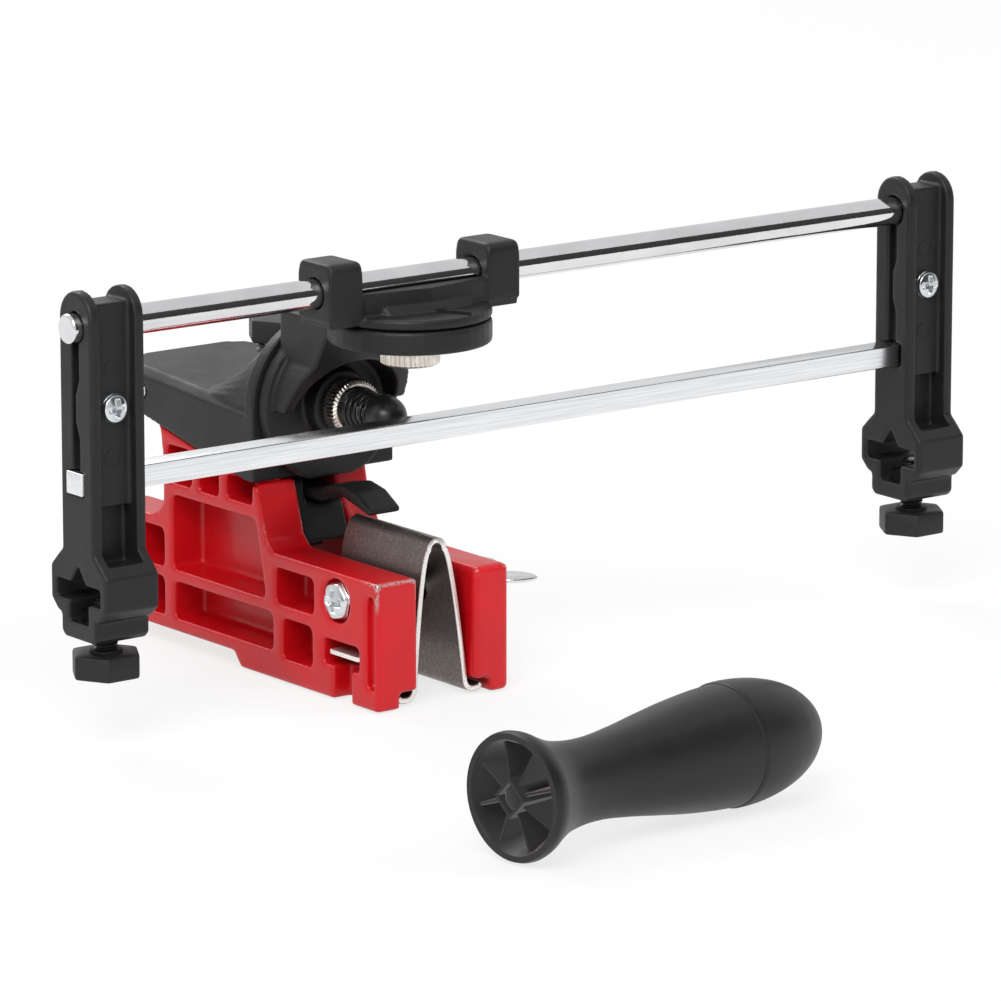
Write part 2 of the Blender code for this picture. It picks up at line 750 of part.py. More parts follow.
def make_stop_block():
    """Block between the towers; its flat underside stops the saw bar."""
    left = left_inner_x + seat_gap
    made = piece("bar_stop_block", block((left, -block_half, 0), (block_right, block_half, block_top_z)),
                 black_nylon, base)
    soften(made, seat_gap)
    notch_back = pawl_y + pawl_hub_radius + run_gap
    notch_left = pawl_right - pawl_width - run_gap
    notch = block((notch_left, -block_half - overrun, pawl_z - pawl_hub_radius - run_gap),
                  (block_right + overrun, notch_back, block_top_z + overrun))
    cut(made, notch, "pawl_notch")
    hole = prism(circle((pawl_y, pawl_z), pawl_pin_radius + run_gap / 4, small_sides),
                 left - overrun, notch_left + overrun, "X")
    cut(made, hole, "pin_hole")
    return made


def make_pawl():
    """Curved tongue that holds the cutter, turning on a pin in the block."""
    def place(shares):
        return (pawl_y - shares[0] * pawl_reach, pawl_z + shares[1] * pawl_reach)

    hub = arc((pawl_y, pawl_z), pawl_hub_radius, -pi * 0.62, pi * 0.62, 10)
    tongue = [place(shares) for shares in tongue_top_shares + tongue_tip_shares + tongue_under_shares]
    shape = prism(hub + tongue, pawl_right - pawl_width, pawl_right, "X")
    made = piece("chain_pawl", shape, black_nylon, pawl_place)
    bore = prism(circle((pawl_y, pawl_z), pawl_pin_radius + run_gap / 4, small_sides),
                 -slot_width, slot_width, "X")
    cut(made, bore, "bore")
    return made


def make_pawl_pin():
    """Short pin through the block's cheek and the pawl."""
    low = left_inner_x - pawl_pin_seat + seat_gap
    high = pawl_right
    return piece("pawl_pin", turned([(low, pawl_pin_radius), (high, pawl_pin_radius)], (pawl_y, pawl_z), "X",
                                    small_sides), zinc, base)


make_stop_block()
make_pawl()
make_pawl_pin()


# Swing arm and its hinge pin

def arm_section(half, skirt_z, deck_z):
    """Cross-section of the wedge with its bevelled top edges."""
    return [(-half, skirt_z), (half, skirt_z), (half, deck_z - arm_bevel), (half - arm_bevel, deck_z),
            (-half + arm_bevel, deck_z), (-half, deck_z - arm_bevel)]


def deck_height(place_y):
    """Top of the wedge at a place along the arm."""
    slope = (hinge_z + deck_above_pin - tilt_z + deck_below_tilt) / (hinge_y - flange_back_y)
    return tilt_z - deck_below_tilt + slope * (place_y - flange_back_y)


def skirt_height(place_y):
    """Lower edge of the arm's sides at a place along the arm."""
    rear, front = arm_skirt_line(0)
    share = (place_y - front[0]) / (rear[0] - front[0])
    return front[1] + (rear[1] - front[1]) * share


def arm_blend(front_y):
    """Ruled block that runs from the flange's arc down to a straight line across the deck."""
    end_y = flange_back_y + blend_length
    tip = arm_half - blend_tip_inset
    ends = ((front_y, arc((0, tilt_z), arm_half - seat_gap, 0, pi, round_sides)),
            (end_y, [(tip * (1 - 2 * step / round_sides), deck_height(end_y) - bite) for step in range(round_sides + 1)]))
    sections = []
    for place_y, top in ends:
        under = deck_height(place_y) - arm_roof - bite
        sections.append(section(top + [(-tip, under), (tip, under)], place_y, "Y"))
    return loft(sections)


def make_swing_arm():
    """Wedge-shaped channel with a round flange in front and a sloping block behind it."""
    front_y = flange_back_y - bite
    tail_y = hinge_y + arm_tail
    stations = [(front_y, arm_half), (tail_y - tail_round, arm_half),
                (tail_y - tail_round / 4, arm_half - tail_round / 3), (tail_y, arm_half - tail_round)]
    sections = [section(arm_section(half, skirt_height(y), deck_height(y)), y, "Y") for y, half in stations]
    made = piece("swing_arm", loft(sections), black_nylon, arm_place)
    flange_front = seam_y + seat_gap / 2
    flange = arc((0, tilt_z), arm_half, 0, pi, round_sides)
    flange += [(-arm_half, flange_bottom_z), (arm_half, flange_bottom_z)]
    add(made, prism(flange, flange_front, flange_back_y, "Y"), "flange")
    add(made, arm_blend(front_y), "blend")
    inner_half = arm_half - arm_wall
    hollow = []
    for place_y in (flange_back_y, tail_y + overrun):
        roof = deck_height(place_y) - arm_roof
        low = skirt_height(place_y) - overrun - arm_half
        hollow.append(section(rectangle((-inner_half, low), (inner_half, roof)), place_y, "Y"))
    cut(made, loft(hollow), "hollow")
    head_room = prism(circle((0, tilt_z), tilt_head_radius + run_gap), flange_back_y - bite,
                      flange_back_y + tilt_head_height + overrun, "Y")
    cut(made, head_room, "bolt_head_room")
    holes = prism(circle((0, tilt_z), tilt_radius + run_gap / 4), flange_front - overrun, flange_back_y + overrun, "Y")
    cut(made, holes, "bolt_hole")
    pin_hole = prism(circle((hinge_y, hinge_z), hinge_pin_radius + run_gap / 4, small_sides),
                     -arm_half - overrun, arm_half + overrun, "X")
    cut(made, pin_hole, "pin_hole")
    seat_z = rod_z - height_seat_drop
    cut(made, prism(circle((0, height_y), height_seat_radius), seat_z, seat_z + arm_half, "Z"), "spring_seat")
    screw_hole = prism(circle((0, height_y), screw_radius + run_gap / 4, small_sides),
                       seat_z - arm_half, seat_z + arm_half, "Z")
    cut(made, screw_hole, "screw_hole")
    nut_floor = deck_height(height_y) - arm_roof
    nut_pocket = prism(hexagon((0, height_y), nut_across + 2 * seat_gap), nut_floor - overrun,
                       nut_floor + nut_height - seat_gap, "Z")
    cut(made, nut_pocket, "nut_pocket")
    return made


def make_hinge_pin():
    """Plain pin through the arm and both hinge ears."""
    reach = arm_half + hinge_pin_overhang
    profile = [(-reach, hinge_pin_radius - end_chamfer), (-reach + end_chamfer, hinge_pin_radius),
               (reach - end_chamfer, hinge_pin_radius), (reach, hinge_pin_radius - end_chamfer)]
    return piece("hinge_pin", turned(profile, (hinge_y, hinge_z), "X", small_sides), zinc, base)


make_swing_arm()
make_hinge_pin()


# Screws, knobs and nuts with hexagons

def make_knob(name, carrier, place, under_z, direction):
    """Hexagonal knob, bored from above where direction is 1 and from below where it is -1."""
    low = under_z
    high = under_z + knob_height
    outline = hexagon(place, knob_across)
    inner = hexagon(place, knob_across - 2 * knob_chamfer)
    sections = [section(inner, low, "Z"), section(outline, low + knob_chamfer, "Z"),
                section(outline, high - knob_chamfer, "Z"), section(inner, high, "Z")]
    made = piece(name, loft(sections), black_nylon, carrier)
    face = high if direction > 0 else low
    if direction > 0:
        face += knob_ring
        add(made, prism(circle(place, knob_ring_radius, small_sides), high - bite, face, "Z"), "ring")
    deep = high - knob_bore_depth if direction > 0 else low + knob_bore_depth
    start, end = sorted((deep, face + direction * overrun))
    cut(made, prism(circle(place, screw_radius + run_gap / 4, small_sides), start, end, "Z"), "bore")
    return made


def make_screw(name, carrier, place, low, high):
    """Steel screw fixed in a knob."""
    profile = [(low, screw_radius - end_chamfer), (low + end_chamfer, screw_radius),
               (high - end_chamfer, screw_radius), (high, screw_radius - end_chamfer)]
    return piece(name, turned(profile, place, "Z", small_sides), zinc, carrier)


def make_hex_nut(name, carrier, place, low, finish):
    """Hexagonal nut let into a plastic piece."""
    made = piece(name, prism(hexagon(place, nut_across), low, low + nut_height - 2 * seat_gap, "Z"), finish, carrier)
    bore = prism(circle(place, screw_radius + run_gap / 4, small_sides), low - overrun, low + nut_height + overrun, "Z")
    cut(made, bore, "bore")
    return made


def make_height_adjuster():
    """Screw that sets the arm's height, with its knob, spring and nut."""
    place = (0, height_y)
    under = rod_z - height_knob_drop
    make_knob("height_knob", height_place, place, under, -1)
    make_screw("height_screw", height_place, place, block_top_z + seat_gap, under + knob_bore_depth - seat_gap)
    nut_floor = deck_height(height_y) - arm_roof
    make_hex_nut("height_nut", arm_place, place, nut_floor, zinc)
    seat_z = rod_z - height_seat_drop
    margin = height_spring_wire / 2 + seat_gap
    coil("height_spring", black_wire, arm_place, "Z", (0, height_y, seat_z + margin), (0, height_y, under - margin),
         (height_spring_radius, height_spring_radius), height_spring_wire, height_spring_curls)


make_height_adjuster()


# Tilt bolt, lock nut and spring bumper

def make_lock_nut(name, carrier, centre, axis, low, high, bore):
    """Knurled nut with chamfered ends."""
    rim = knurled(centre, lock_nut_radius, knurl_depth, knurl_count)
    end = knurled(centre, lock_nut_radius - end_chamfer, knurl_depth / 2, knurl_count)
    sections = [section(end, low, axis), section(rim, low + end_chamfer, axis),
                section(rim, high - end_chamfer, axis), section(end, high, axis)]
    made = piece(name, loft(sections), nickel, carrier)
    cut(made, prism(circle(centre, bore + run_gap / 4, small_sides), low - overrun, high + overrun, axis), "bore")
    return made


def make_tilt_set():
    """Bolt on the tilt axis, its nut, and the sprung bumper on the bolt's nose."""
    centre = (0, tilt_z)
    nut_front = rod_y + tilt_nut_back
    head_back = flange_back_y + seat_gap + tilt_head_height
    pin_tip = rod_y + bumper_back - seat_gap
    profile = [(pin_tip, bumper_pin_radius), (nut_front, bumper_pin_radius), (nut_front, tilt_radius),
               (flange_back_y + seat_gap, tilt_radius), (flange_back_y + seat_gap, tilt_head_radius),
               (head_back - end_chamfer, tilt_head_radius), (head_back, tilt_head_radius - end_chamfer)]
    piece("tilt_bolt", turned(profile, centre, "Y", small_sides), zinc, tilt_place)
    make_lock_nut("tilt_lock_nut", tilt_place, centre, "Y", nut_front, nut_front + lock_nut_height, tilt_radius)
    dome_y = rod_y + bumper_back
    profile = [(dome_y + bumper_skirt, bumper_radius)]
    for step in range(dome_steps + 1):
        angle = radians(84) * step / dome_steps
        profile.append((dome_y - bumper_radius * sin(angle), bumper_radius * cos(angle)))
    cap = piece("bumper_cap", turned(profile, centre, "Y"), black_rubber, bumper_place)
    bore = prism(circle(centre, bumper_pin_radius + run_gap / 4, small_sides),
                 pin_tip - bumper_travel - seat_gap, dome_y + bumper_skirt + overrun, "Y")
    cut(cap, bore, "bore")
    margin = bumper_spring_wire / 2 + seat_gap
    coil("bumper_spring", black_wire, tilt_place, "Y", (0, nut_front - margin, tilt_z),
         (0, dome_y + bumper_skirt + margin, tilt_z), (bumper_spring_wide, bumper_spring_slim),
         bumper_spring_wire, bumper_spring_curls)


make_tilt_set()


# Angle bracket

def make_angle_bracket():
    """Round platform on an arched bracket that tilts against the arm's flange."""
    top = platform_top_z
    under = platform_bottom_z
    platform = prism(circle((0, rod_y), disc_radius, 40), under, top, "Z")
    made = piece("angle_bracket", platform, black_nylon, tilt_place)
    soften(made, end_chamfer)
    plate_back = seam_y - seat_gap / 2
    plate_front = plate_back - plate_thickness
    flat_z = tilt_z - plate_flat_drop
    plate = [(across, max(up, flat_z)) for across, up in circle((0, tilt_z), plate_radius, 40)]
    add(made, prism(plate, plate_front, plate_back, "Y"), "plate")
    neck_y = rod_y + neck_front
    neck_top = rod_z - neck_top_drop
    neck = block((-neck_half, neck_y, tilt_z + arch_high), (neck_half, plate_back - bite, neck_top))
    add(made, neck, "neck")
    arch = arc((0, tilt_z), arch_outer, 0, pi, round_sides)
    add(made, prism(arch, neck_y + bite, plate_back - 2 * bite, "Y"), "arch")
    opening = [(arch_wide * cos(angle), tilt_z + arch_high * sin(angle))
               for angle in [pi * step / round_sides for step in range(round_sides + 1)]]
    opening += [(-arch_wide, tilt_z - plate_radius), (arch_wide, tilt_z - plate_radius)]
    cut(made, prism(opening, neck_y - overrun, plate_front, "Y"), "opening")
    gusset = [(rod_y + gusset_front, under - bite), (rod_y + gusset_foot_back, rod_z - gusset_foot_drop),
              (rod_y + gusset_foot_back, tilt_z - plate_radius), (neck_y - arch_outer, tilt_z - plate_radius),
              (neck_y - arch_outer, under - bite)]
    cut(made, prism(gusset, -plate_radius - overrun, plate_radius + overrun, "X"), "slanted_front")
    boss = prism(circle((0, tilt_z), nut_boss_radius), rod_y + tilt_nut_back + lock_nut_height + seat_gap,
                 plate_back - bite, "Y")
    add(made, boss, "nut_boss")
    tilt_hole = prism(circle((0, tilt_z), tilt_radius + run_gap / 2, small_sides),
                      plate_front - arch_outer, plate_back + overrun, "Y")
    cut(made, tilt_hole, "tilt_hole")
    swivel_hole = prism(circle((0, rod_y), screw_radius + run_gap / 2, small_sides),
                        under - overrun, top + overrun, "Z")
    cut(made, swivel_hole, "swivel_hole")
    return made


make_angle_bracket()


# Guide carriage, swivel bolt and its nut

def make_guide_carriage():
    """Base disc with two bored lugs that guide the rod."""
    bottom = platform_top_z + seat_gap
    top = bottom + base_thickness
    made = piece("guide_carriage", prism(circle((0, rod_y), disc_radius, 40), bottom, top, "Z"), black_nylon,
                 swivel_place)
    soften(made, end_chamfer)
    pad_top = top + base_pad_rise
    add(made, turned([(top - bite, base_pad_radius), (pad_top - end_chamfer, base_pad_radius),
                      (pad_top, base_pad_radius - end_chamfer)], (0, rod_y), "Z"), "pad")
    wall_top = rod_z - wall_top_drop
    wall = [(-lug_inner - bite, rod_y - wall_front), (0, rod_y - wall_kink), (lug_inner + bite, rod_y - wall_front),
            (lug_inner + bite, rod_y - wall_back), (-lug_inner - bite, rod_y - wall_back)]
    add(made, prism(wall, top - bite, wall_top, "Z"), "wall")
    lug_low = rod_z - lug_bottom_drop
    lug_high = rod_z + lug_top
    for side, label in ((-1, "left_lug"), (1, "right_lug")):
        outline = [(rod_y - lug_half, lug_low), (rod_y + lug_half, lug_low)]
        outline += arc((rod_y + lug_half - lug_round, lug_high - lug_round), lug_round, 0, pi / 2, corner_steps)
        outline += arc((rod_y - lug_half + lug_round, lug_high - lug_round), lug_round, pi / 2, pi, corner_steps)
        low, high = sorted((side * lug_inner, side * lug_outer))
        lug = prism(outline, low, high, "X")
        long_edges = [edge for edge in lug.edges if abs(edge.calc_face_angle(0)) > radians(60)
                      and min(vert.co.z for vert in edge.verts) > lug_low + lug_half]
        bmesh.ops.bevel(lug, geom=long_edges, offset=lug_round / 2, segments=2, profile=0.5, affect="EDGES")
        add(made, lug, label)
        lip = block((low + bite, rod_y - lug_half + bite, bottom + end_chamfer),
                    (high - bite, rod_y + lug_half - bite, lug_low + bite))
        add(made, lip, label + "_foot")
    bore = prism(circle((rod_y, rod_z), rod_radius + run_gap / 2), -lug_outer - overrun, lug_outer + overrun, "X")
    cut(made, bore, "rod_bore")
    head = prism(circle((0, rod_y), swivel_head_radius + run_gap / 2),
                 pad_top - swivel_head_height - 2 * seat_gap, pad_top + overrun, "Z")
    cut(made, head, "head_recess")
    hole = prism(circle((0, rod_y), screw_radius + run_gap / 4, small_sides), bottom - overrun, pad_top, "Z")
    cut(made, hole, "bolt_hole")
    return made


def make_swivel_set():
    """Flat-headed bolt through carriage and platform, with its knurled nut."""
    pad_top = platform_top_z + seat_gap + base_thickness + base_pad_rise
    head_top = pad_top - seat_gap
    head_low = head_top - swivel_head_height
    nut_top = platform_bottom_z - seat_gap
    tip = nut_top - lock_nut_height
    profile = [(tip, screw_radius - end_chamfer), (tip + end_chamfer, screw_radius), (head_low, screw_radius),
               (head_low, swivel_head_radius), (head_top, swivel_head_radius)]
    piece("swivel_bolt", turned(profile, (0, rod_y), "Z", small_sides), zinc, swivel_place)
    make_lock_nut("swivel_lock_nut", swivel_place, (0, rod_y), "Z", nut_top - lock_nut_height, nut_top, screw_radius)


make_guide_carriage()
make_swivel_set()


# File frame: rod, bar, posts and their screws

def make_guide_rod():
    """Round rod with chamfered ends."""
    reach = post_spacing / 2 + post_width / 2 + rod_overhang
    profile = [(frame_shift - reach, rod_radius - end_chamfer), (frame_shift - reach + end_chamfer, rod_radius),
               (frame_shift + reach - end_chamfer, rod_radius), (frame_shift + reach, rod_radius - end_chamfer)]
    return piece("guide_rod", turned(profile, (rod_y, rod_z), "X"), chrome, rod_place)


def make_lower_bar():
    """Rectangular bar that keeps the posts in line."""
    reach = post_spacing / 2 + post_width / 2 + bar_overhang
    middle = rod_z - bar_drop
    shape = block((frame_shift - reach, rod_y - bar_width / 2, middle - bar_height / 2),
                  (frame_shift + reach, rod_y + bar_width / 2, middle + bar_height / 2))
    made = piece("lower_bar", shape, bright_steel, rod_place)
    soften(made, seat_gap)
    return made


def post_outline():
    """Side view of a post: rounded top, column, socket head and lip."""
    half = post_depth / 2
    head = head_width / 2
    lip = lip_width / 2
    points = arc((rod_y, rod_z + post_top - half), half, 0, pi, 12)
    points += [(rod_y - half, shoulder_z)]
    left = [(rod_y - head + head_round, shoulder_z - head_top_drop + head_round),
            (rod_y - head, shoulder_z - head_top_drop), (rod_y - head, shoulder_z - head_bottom_drop + head_round),
            (rod_y - head + head_round, shoulder_z - head_bottom_drop), (rod_y - lip, shoulder_z - head_bottom_drop - bite),
            (rod_y - lip, shoulder_z - lip_bottom_drop + head_round / 2), (rod_y - lip + head_round / 2,
                                                                     shoulder_z - lip_bottom_drop)]
    right = [(2 * rod_y - place_y, place_z) for place_y, place_z in left[::-1]]
    return points + left + right + [(rod_y + half, shoulder_z)]


def socket_outline():
    """File socket: a wide slot with a point above and a square foot below."""
    middle = shoulder_z - socket_drop
    top = middle + socket_height / 2
    low = middle - socket_height / 2
    wide = socket_width / 2
    return [(rod_y - wide, low), (rod_y - socket_foot_half, low), (rod_y - socket_foot_half, low - socket_foot),
            (rod_y + socket_foot_half, low - socket_foot), (rod_y + socket_foot_half, low), (rod_y + wide, low),
            (rod_y + wide, top), (rod_y + socket_point_half, top), (rod_y, top + socket_point),
            (rod_y - socket_point_half, top), (rod_y - wide, top)]


def slit_outline():
    """Clamping slit from the rod's hole to the bar's, pinched in the middle on its front side."""
    top = rod_z - rod_radius / 2
    low = rod_z - bar_drop + bar_height / 2 - seat_gap
    pinch = rod_z - clamp_drop
    back = rod_y + slit_wide / 2
    front = rod_y - slit_wide / 2
    near = back - slit_narrow
    return [(back, low), (back, top), (front, top), (front, pinch + slit_bulge_half),
            (near, pinch + slit_bulge_half / 2), (near, pinch - slit_bulge_half / 2),
            (front, pinch - slit_bulge_half), (front, low)]


def make_post(name, middle_x):
    """End post of the file frame."""
    low = middle_x - post_width / 2
    high = middle_x + post_width / 2
    made = piece(name, prism(post_outline(), low, high, "X"), black_nylon, rod_place)
    soften(made, end_chamfer, 1, 50.0)
    web = post_depth / 2 - channel_depth
    for side, label in ((-1, "front"), (1, "back")):
        near, far = sorted((rod_y + side * web, rod_y + side * (post_depth / 2 + overrun)))
        channel = block((low + post_plate, near, rod_z - pocket_step_drop),
                        (high - post_plate, far, rod_z + post_top + overrun))
        cut(made, channel, label + "_channel")
        near, far = sorted((rod_y + side * (web - pocket_extra), rod_y + side * (post_depth / 2 + overrun)))
        deep = block((low + post_plate, near, shoulder_z - pocket_floor_drop),
                     (high - post_plate, far, rod_z - pocket_step_drop + bite))
        cut(made, deep, label + "_pocket")
    crown = block((low + post_plate, rod_y - post_depth, rod_z + channel_top),
                  (high - post_plate, rod_y + post_depth, rod_z + post_top + overrun))
    cut(made, crown, "crown")
    rod_hole = prism(circle((rod_y, rod_z), rod_radius + bar_side_gap), low - overrun, high + overrun, "X")
    cut(made, rod_hole, "rod_hole")
    cut(made, prism(slit_outline(), low - overrun, high + overrun, "X"), "slit")
    half_bar = bar_width / 2 + bar_side_gap
    tall_bar = bar_height / 2 + bar_side_gap
    bar_z = rod_z - bar_drop
    bar_hole = rectangle((rod_y - half_bar, bar_z - tall_bar), (rod_y + half_bar, bar_z + tall_bar))
    cut(made, prism(bar_hole, low - overrun, high + overrun, "X"), "bar_hole")
    screw_hole = prism(circle((middle_x, rod_z - clamp_drop), clamp_shank_radius + run_gap / 4, small_sides),
                       rod_y - post_depth, rod_y + post_depth, "Y")
    cut(made, screw_hole, "clamp_hole")
    cut(made, prism(socket_outline(), low - overrun, high + overrun, "X"), "socket")
    floor = shoulder_z - socket_drop - socket_height / 2 - socket_foot
    thumb_hole = prism(circle((middle_x, rod_y), screw_radius + run_gap / 4, small_sides),
                       shoulder_z - lip_bottom_drop - overrun, floor + overrun, "Z")
    cut(made, thumb_hole, "thumb_screw_hole")
    seat = prism(hexagon((middle_x, rod_y), nut_across + 2 * seat_gap), floor - nut_height,
                 floor + overrun, "Z")
    cut(made, seat, "nut_seat")
    return made


def make_post_fasteners(side_name, middle_x):
    """Clamp screw across the slit, with its nut in the back channel."""
    web = post_depth / 2 - channel_depth
    place = (middle_x, rod_z - clamp_drop)
    face = rod_y - web - seat_gap
    nut_face = rod_y + web + seat_gap
    tip = nut_face + clamp_nut_height
    profile = [(face - clamp_head_height, clamp_head_radius - end_chamfer),
               (face - clamp_head_height + end_chamfer, clamp_head_radius), (face, clamp_head_radius),
               (face, clamp_shank_radius), (tip, clamp_shank_radius)]
    piece(side_name + "_post_screw", turned(profile, place, "Y", small_sides), zinc, rod_place)
    nut = piece(side_name + "_post_nut", prism(hexagon(place, clamp_nut_across), nut_face, tip, "Y"), zinc, rod_place)
    bore = prism(circle(place, clamp_shank_radius + run_gap / 4, small_sides), nut_face - overrun, tip + overrun, "Y")
    cut(nut, bore, "bore")


def make_file_clamp(side_name, middle_x, carrier):
    """Thumb screw under a file socket, with its knob and nut."""
    floor = shoulder_z - socket_drop - socket_height / 2 - socket_foot
    lip = shoulder_z - lip_bottom_drop
    under = lip - knob_gap - knob_height
    place = (middle_x, rod_y)
    make_knob(side_name + "_file_knob", carrier, place, under, 1)
    screw_low = under + knob_height - knob_bore_depth + seat_gap
    make_screw(side_name + "_file_screw", carrier, place, screw_low, floor + file_screw_tip)
    make_hex_nut(side_name + "_file_nut", rod_place, place, floor - nut_height + seat_gap, zinc)


make_guide_rod()
make_lower_bar()
for side_name, middle_x, screw_place in (("left", left_post_x, left_screw_place),
                                         ("right", right_post_x, right_screw_place)):
    make_post(side_name + "_post", middle_x)
    make_post_fasteners(side_name, middle_x)
    make_file_clamp(side_name, middle_x, screw_place)


# File handle

def along_handle(profile_shares):
    """A turned profile from shares of the handle's length and end radius."""
    return [(along * handle_length, reach * handle_disc_radius) for along, reach in profile_shares]


def lay_down(shape):
    """Move a shape from its own axis along +X to where the handle lies."""
    start = Vector((handle_x, handle_y, rest_z + handle_disc_radius))
    for vert in shape.verts:
        along, side, up = vert.co
        vert.co = start + Vector((along * cos(handle_turn) - side * sin(handle_turn),
                                  along * sin(handle_turn) + side * cos(handle_turn), up))
    return shape


def make_file_handle():
    """Hollow-ended grip with radial ribs and a square hole for the file's tang."""
    seam = handle_profile_shares[-1][0] * handle_length
    body = turned(along_handle(handle_profile_shares), (0, 0), "X", 28)
    made = piece("file_handle", lay_down(body), handle_plastic, handle_place)
    recess_radius = handle_disc_radius - 2 * handle_rim
    recess = turned([(-overrun, recess_radius), (handle_recess, recess_radius - handle_rim * 2)], (0, 0), "X", 28)
    cut(made, lay_down(recess), "recess")
    ribs = turned([(handle_rim / 2, handle_hub_radius), (handle_recess + bite, handle_hub_radius)], (0, 0), "X",
                  small_sides)
    add(made, lay_down(ribs), "hub")
    for index in range(handle_ribs):
        angle = tau * (index + 1 / 2) / handle_ribs
        inner = handle_hub_radius - bite
        outer = recess_radius
        out = Vector((cos(angle), sin(angle)))
        across = Vector((-sin(angle), cos(angle))) * (rib_thickness / 2)
        outline = [tuple(out * inner - across), tuple(out * outer - across), tuple(out * outer + across),
                   tuple(out * inner + across)]
        rib = prism(outline, handle_rim, handle_recess + bite, "X")
        add(made, lay_down(rib), f"rib_{index}")
    tang = rectangle((-tang_hole_half, -tang_hole_half), (tang_hole_half, tang_hole_half))
    cut(made, lay_down(prism(tang, -overrun, tang_hole_depth, "X")), "tang_hole")
    socket = turned([(seam - cap_spigot_length, cap_spigot_radius), (seam + overrun, cap_spigot_radius)], (0, 0), "X",
                    small_sides)
    cut(made, lay_down(socket), "cap_socket")
    return made


def make_end_cap():
    """Domed cap with a spigot that closes the handle."""
    seam = cap_profile_shares[0][0] * handle_length
    spigot = cap_spigot_radius - seat_gap
    profile = [(seam - cap_spigot_length + 2 * seat_gap, spigot), (seam, spigot)] + along_handle(cap_profile_shares)
    return piece("handle_end_cap", lay_down(turned(profile, (0, 0), "X", 28)), handle_plastic, handle_place)


make_file_handle()
make_end_cap()
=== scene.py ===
"""Studio picture of a bar mounted chainsaw sharpener on a pale floor.

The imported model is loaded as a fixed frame, in metres: +X runs along the guide
rod, +Z is up and the file's side is -Y.  Each sub-assembly is a class that lays
finer surfaces over its solids, or eases a solid's own edges, and dresses them.
"""
import json
import logging
from dataclasses import dataclass
from enum import Enum
from math import cos, pi, radians, sin, tau

import bmesh
import bpy
import numpy as np
from mathutils import Matrix, Vector
from numpy.typing import NDArray


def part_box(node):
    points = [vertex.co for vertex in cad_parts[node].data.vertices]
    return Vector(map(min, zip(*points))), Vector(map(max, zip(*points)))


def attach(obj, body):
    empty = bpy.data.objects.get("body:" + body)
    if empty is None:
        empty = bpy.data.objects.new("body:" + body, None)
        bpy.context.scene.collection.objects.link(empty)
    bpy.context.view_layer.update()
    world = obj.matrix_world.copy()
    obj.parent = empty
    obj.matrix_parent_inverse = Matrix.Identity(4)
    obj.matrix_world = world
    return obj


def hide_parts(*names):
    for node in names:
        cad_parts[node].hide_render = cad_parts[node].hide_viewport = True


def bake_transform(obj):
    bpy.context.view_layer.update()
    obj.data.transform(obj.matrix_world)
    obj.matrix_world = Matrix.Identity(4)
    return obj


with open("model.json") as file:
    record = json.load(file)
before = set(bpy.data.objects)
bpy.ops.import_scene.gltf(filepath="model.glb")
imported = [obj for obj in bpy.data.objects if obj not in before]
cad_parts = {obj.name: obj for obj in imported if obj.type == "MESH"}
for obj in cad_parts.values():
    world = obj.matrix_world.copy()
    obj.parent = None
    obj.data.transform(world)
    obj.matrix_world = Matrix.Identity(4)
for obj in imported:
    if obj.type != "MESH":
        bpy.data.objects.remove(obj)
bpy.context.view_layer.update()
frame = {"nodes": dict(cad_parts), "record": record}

Array = NDArray[np.float64]
Mesh = bpy.types.Mesh
Node = bpy.types.Node
Object = bpy.types.Object
Socket = bpy.types.NodeSocket
Pair = tuple[float, float]
Triple = tuple[float, float, float]

log = logging.getLogger("sharpener")
BODY_OF: dict[str, str] = {node: body for body, nodes in frame["record"]["behaviour"]["bodies"].items()
                           for node in nodes}
SLOT_OF: dict[str, str] = {part["node"]: part["material_slot"] for part in frame["record"]["subparts"]}


# Shapes


class Axis(Enum):
    """The world axis that a turned or drawn shape follows."""

    X = 0
    Y = 1
    Z = 2

    def place(self, along: Array, first: Array, second: Array) -> Array:
        """Points in space from places along the axis and along the two others, in their order."""
        columns = [first, second]
        columns.insert(self.value, along)
        return np.stack(np.broadcast_arrays(*columns), axis=-1)

    def around(self, along: Array, reach: Array, angles: Array, centre: Array) -> Array:
        """Points round the axis: reach times the cosine and the sine of the angle, across it.

        Args:
            along: Places along the axis.
            reach: Distances from the axis, which may vary with the angle.
            angles: Angles round the axis.
            centre: A point on the axis; its own place along the axis isn't used.

        Returns:
            The points, by ring where along is a column, then by angle.
        """
        off = np.array(centre, float)
        off[self.value] = 0.0
        return self.place(along + 0.0 * angles, reach * np.cos(angles), reach * np.sin(angles)) + off


class Ends(Enum):
    """How the first and last ring of a skin are treated."""

    CAPPED = "capped"
    RING = "ring"


def box(node: str) -> tuple[Array, Array]:
    """Lowest and highest corner of a solid."""
    low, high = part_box(node)
    return np.array(low), np.array(high)


def middle(node: str) -> Array:
    """Middle of a solid's box."""
    return sum(box(node)) / 2


def circle(count: int) -> Array:
    """Angles once round, evenly spaced."""
    return np.arange(count) * tau / count


def smooth_step(value: Array, low: float, high: float) -> Array:
    """3t^2 - 2t^3 between low and high, 0 before and 1 after."""
    share = np.clip((value - low) / (high - low), 0.0, 1.0)
    return share * share * (3.0 - 2.0 * share)


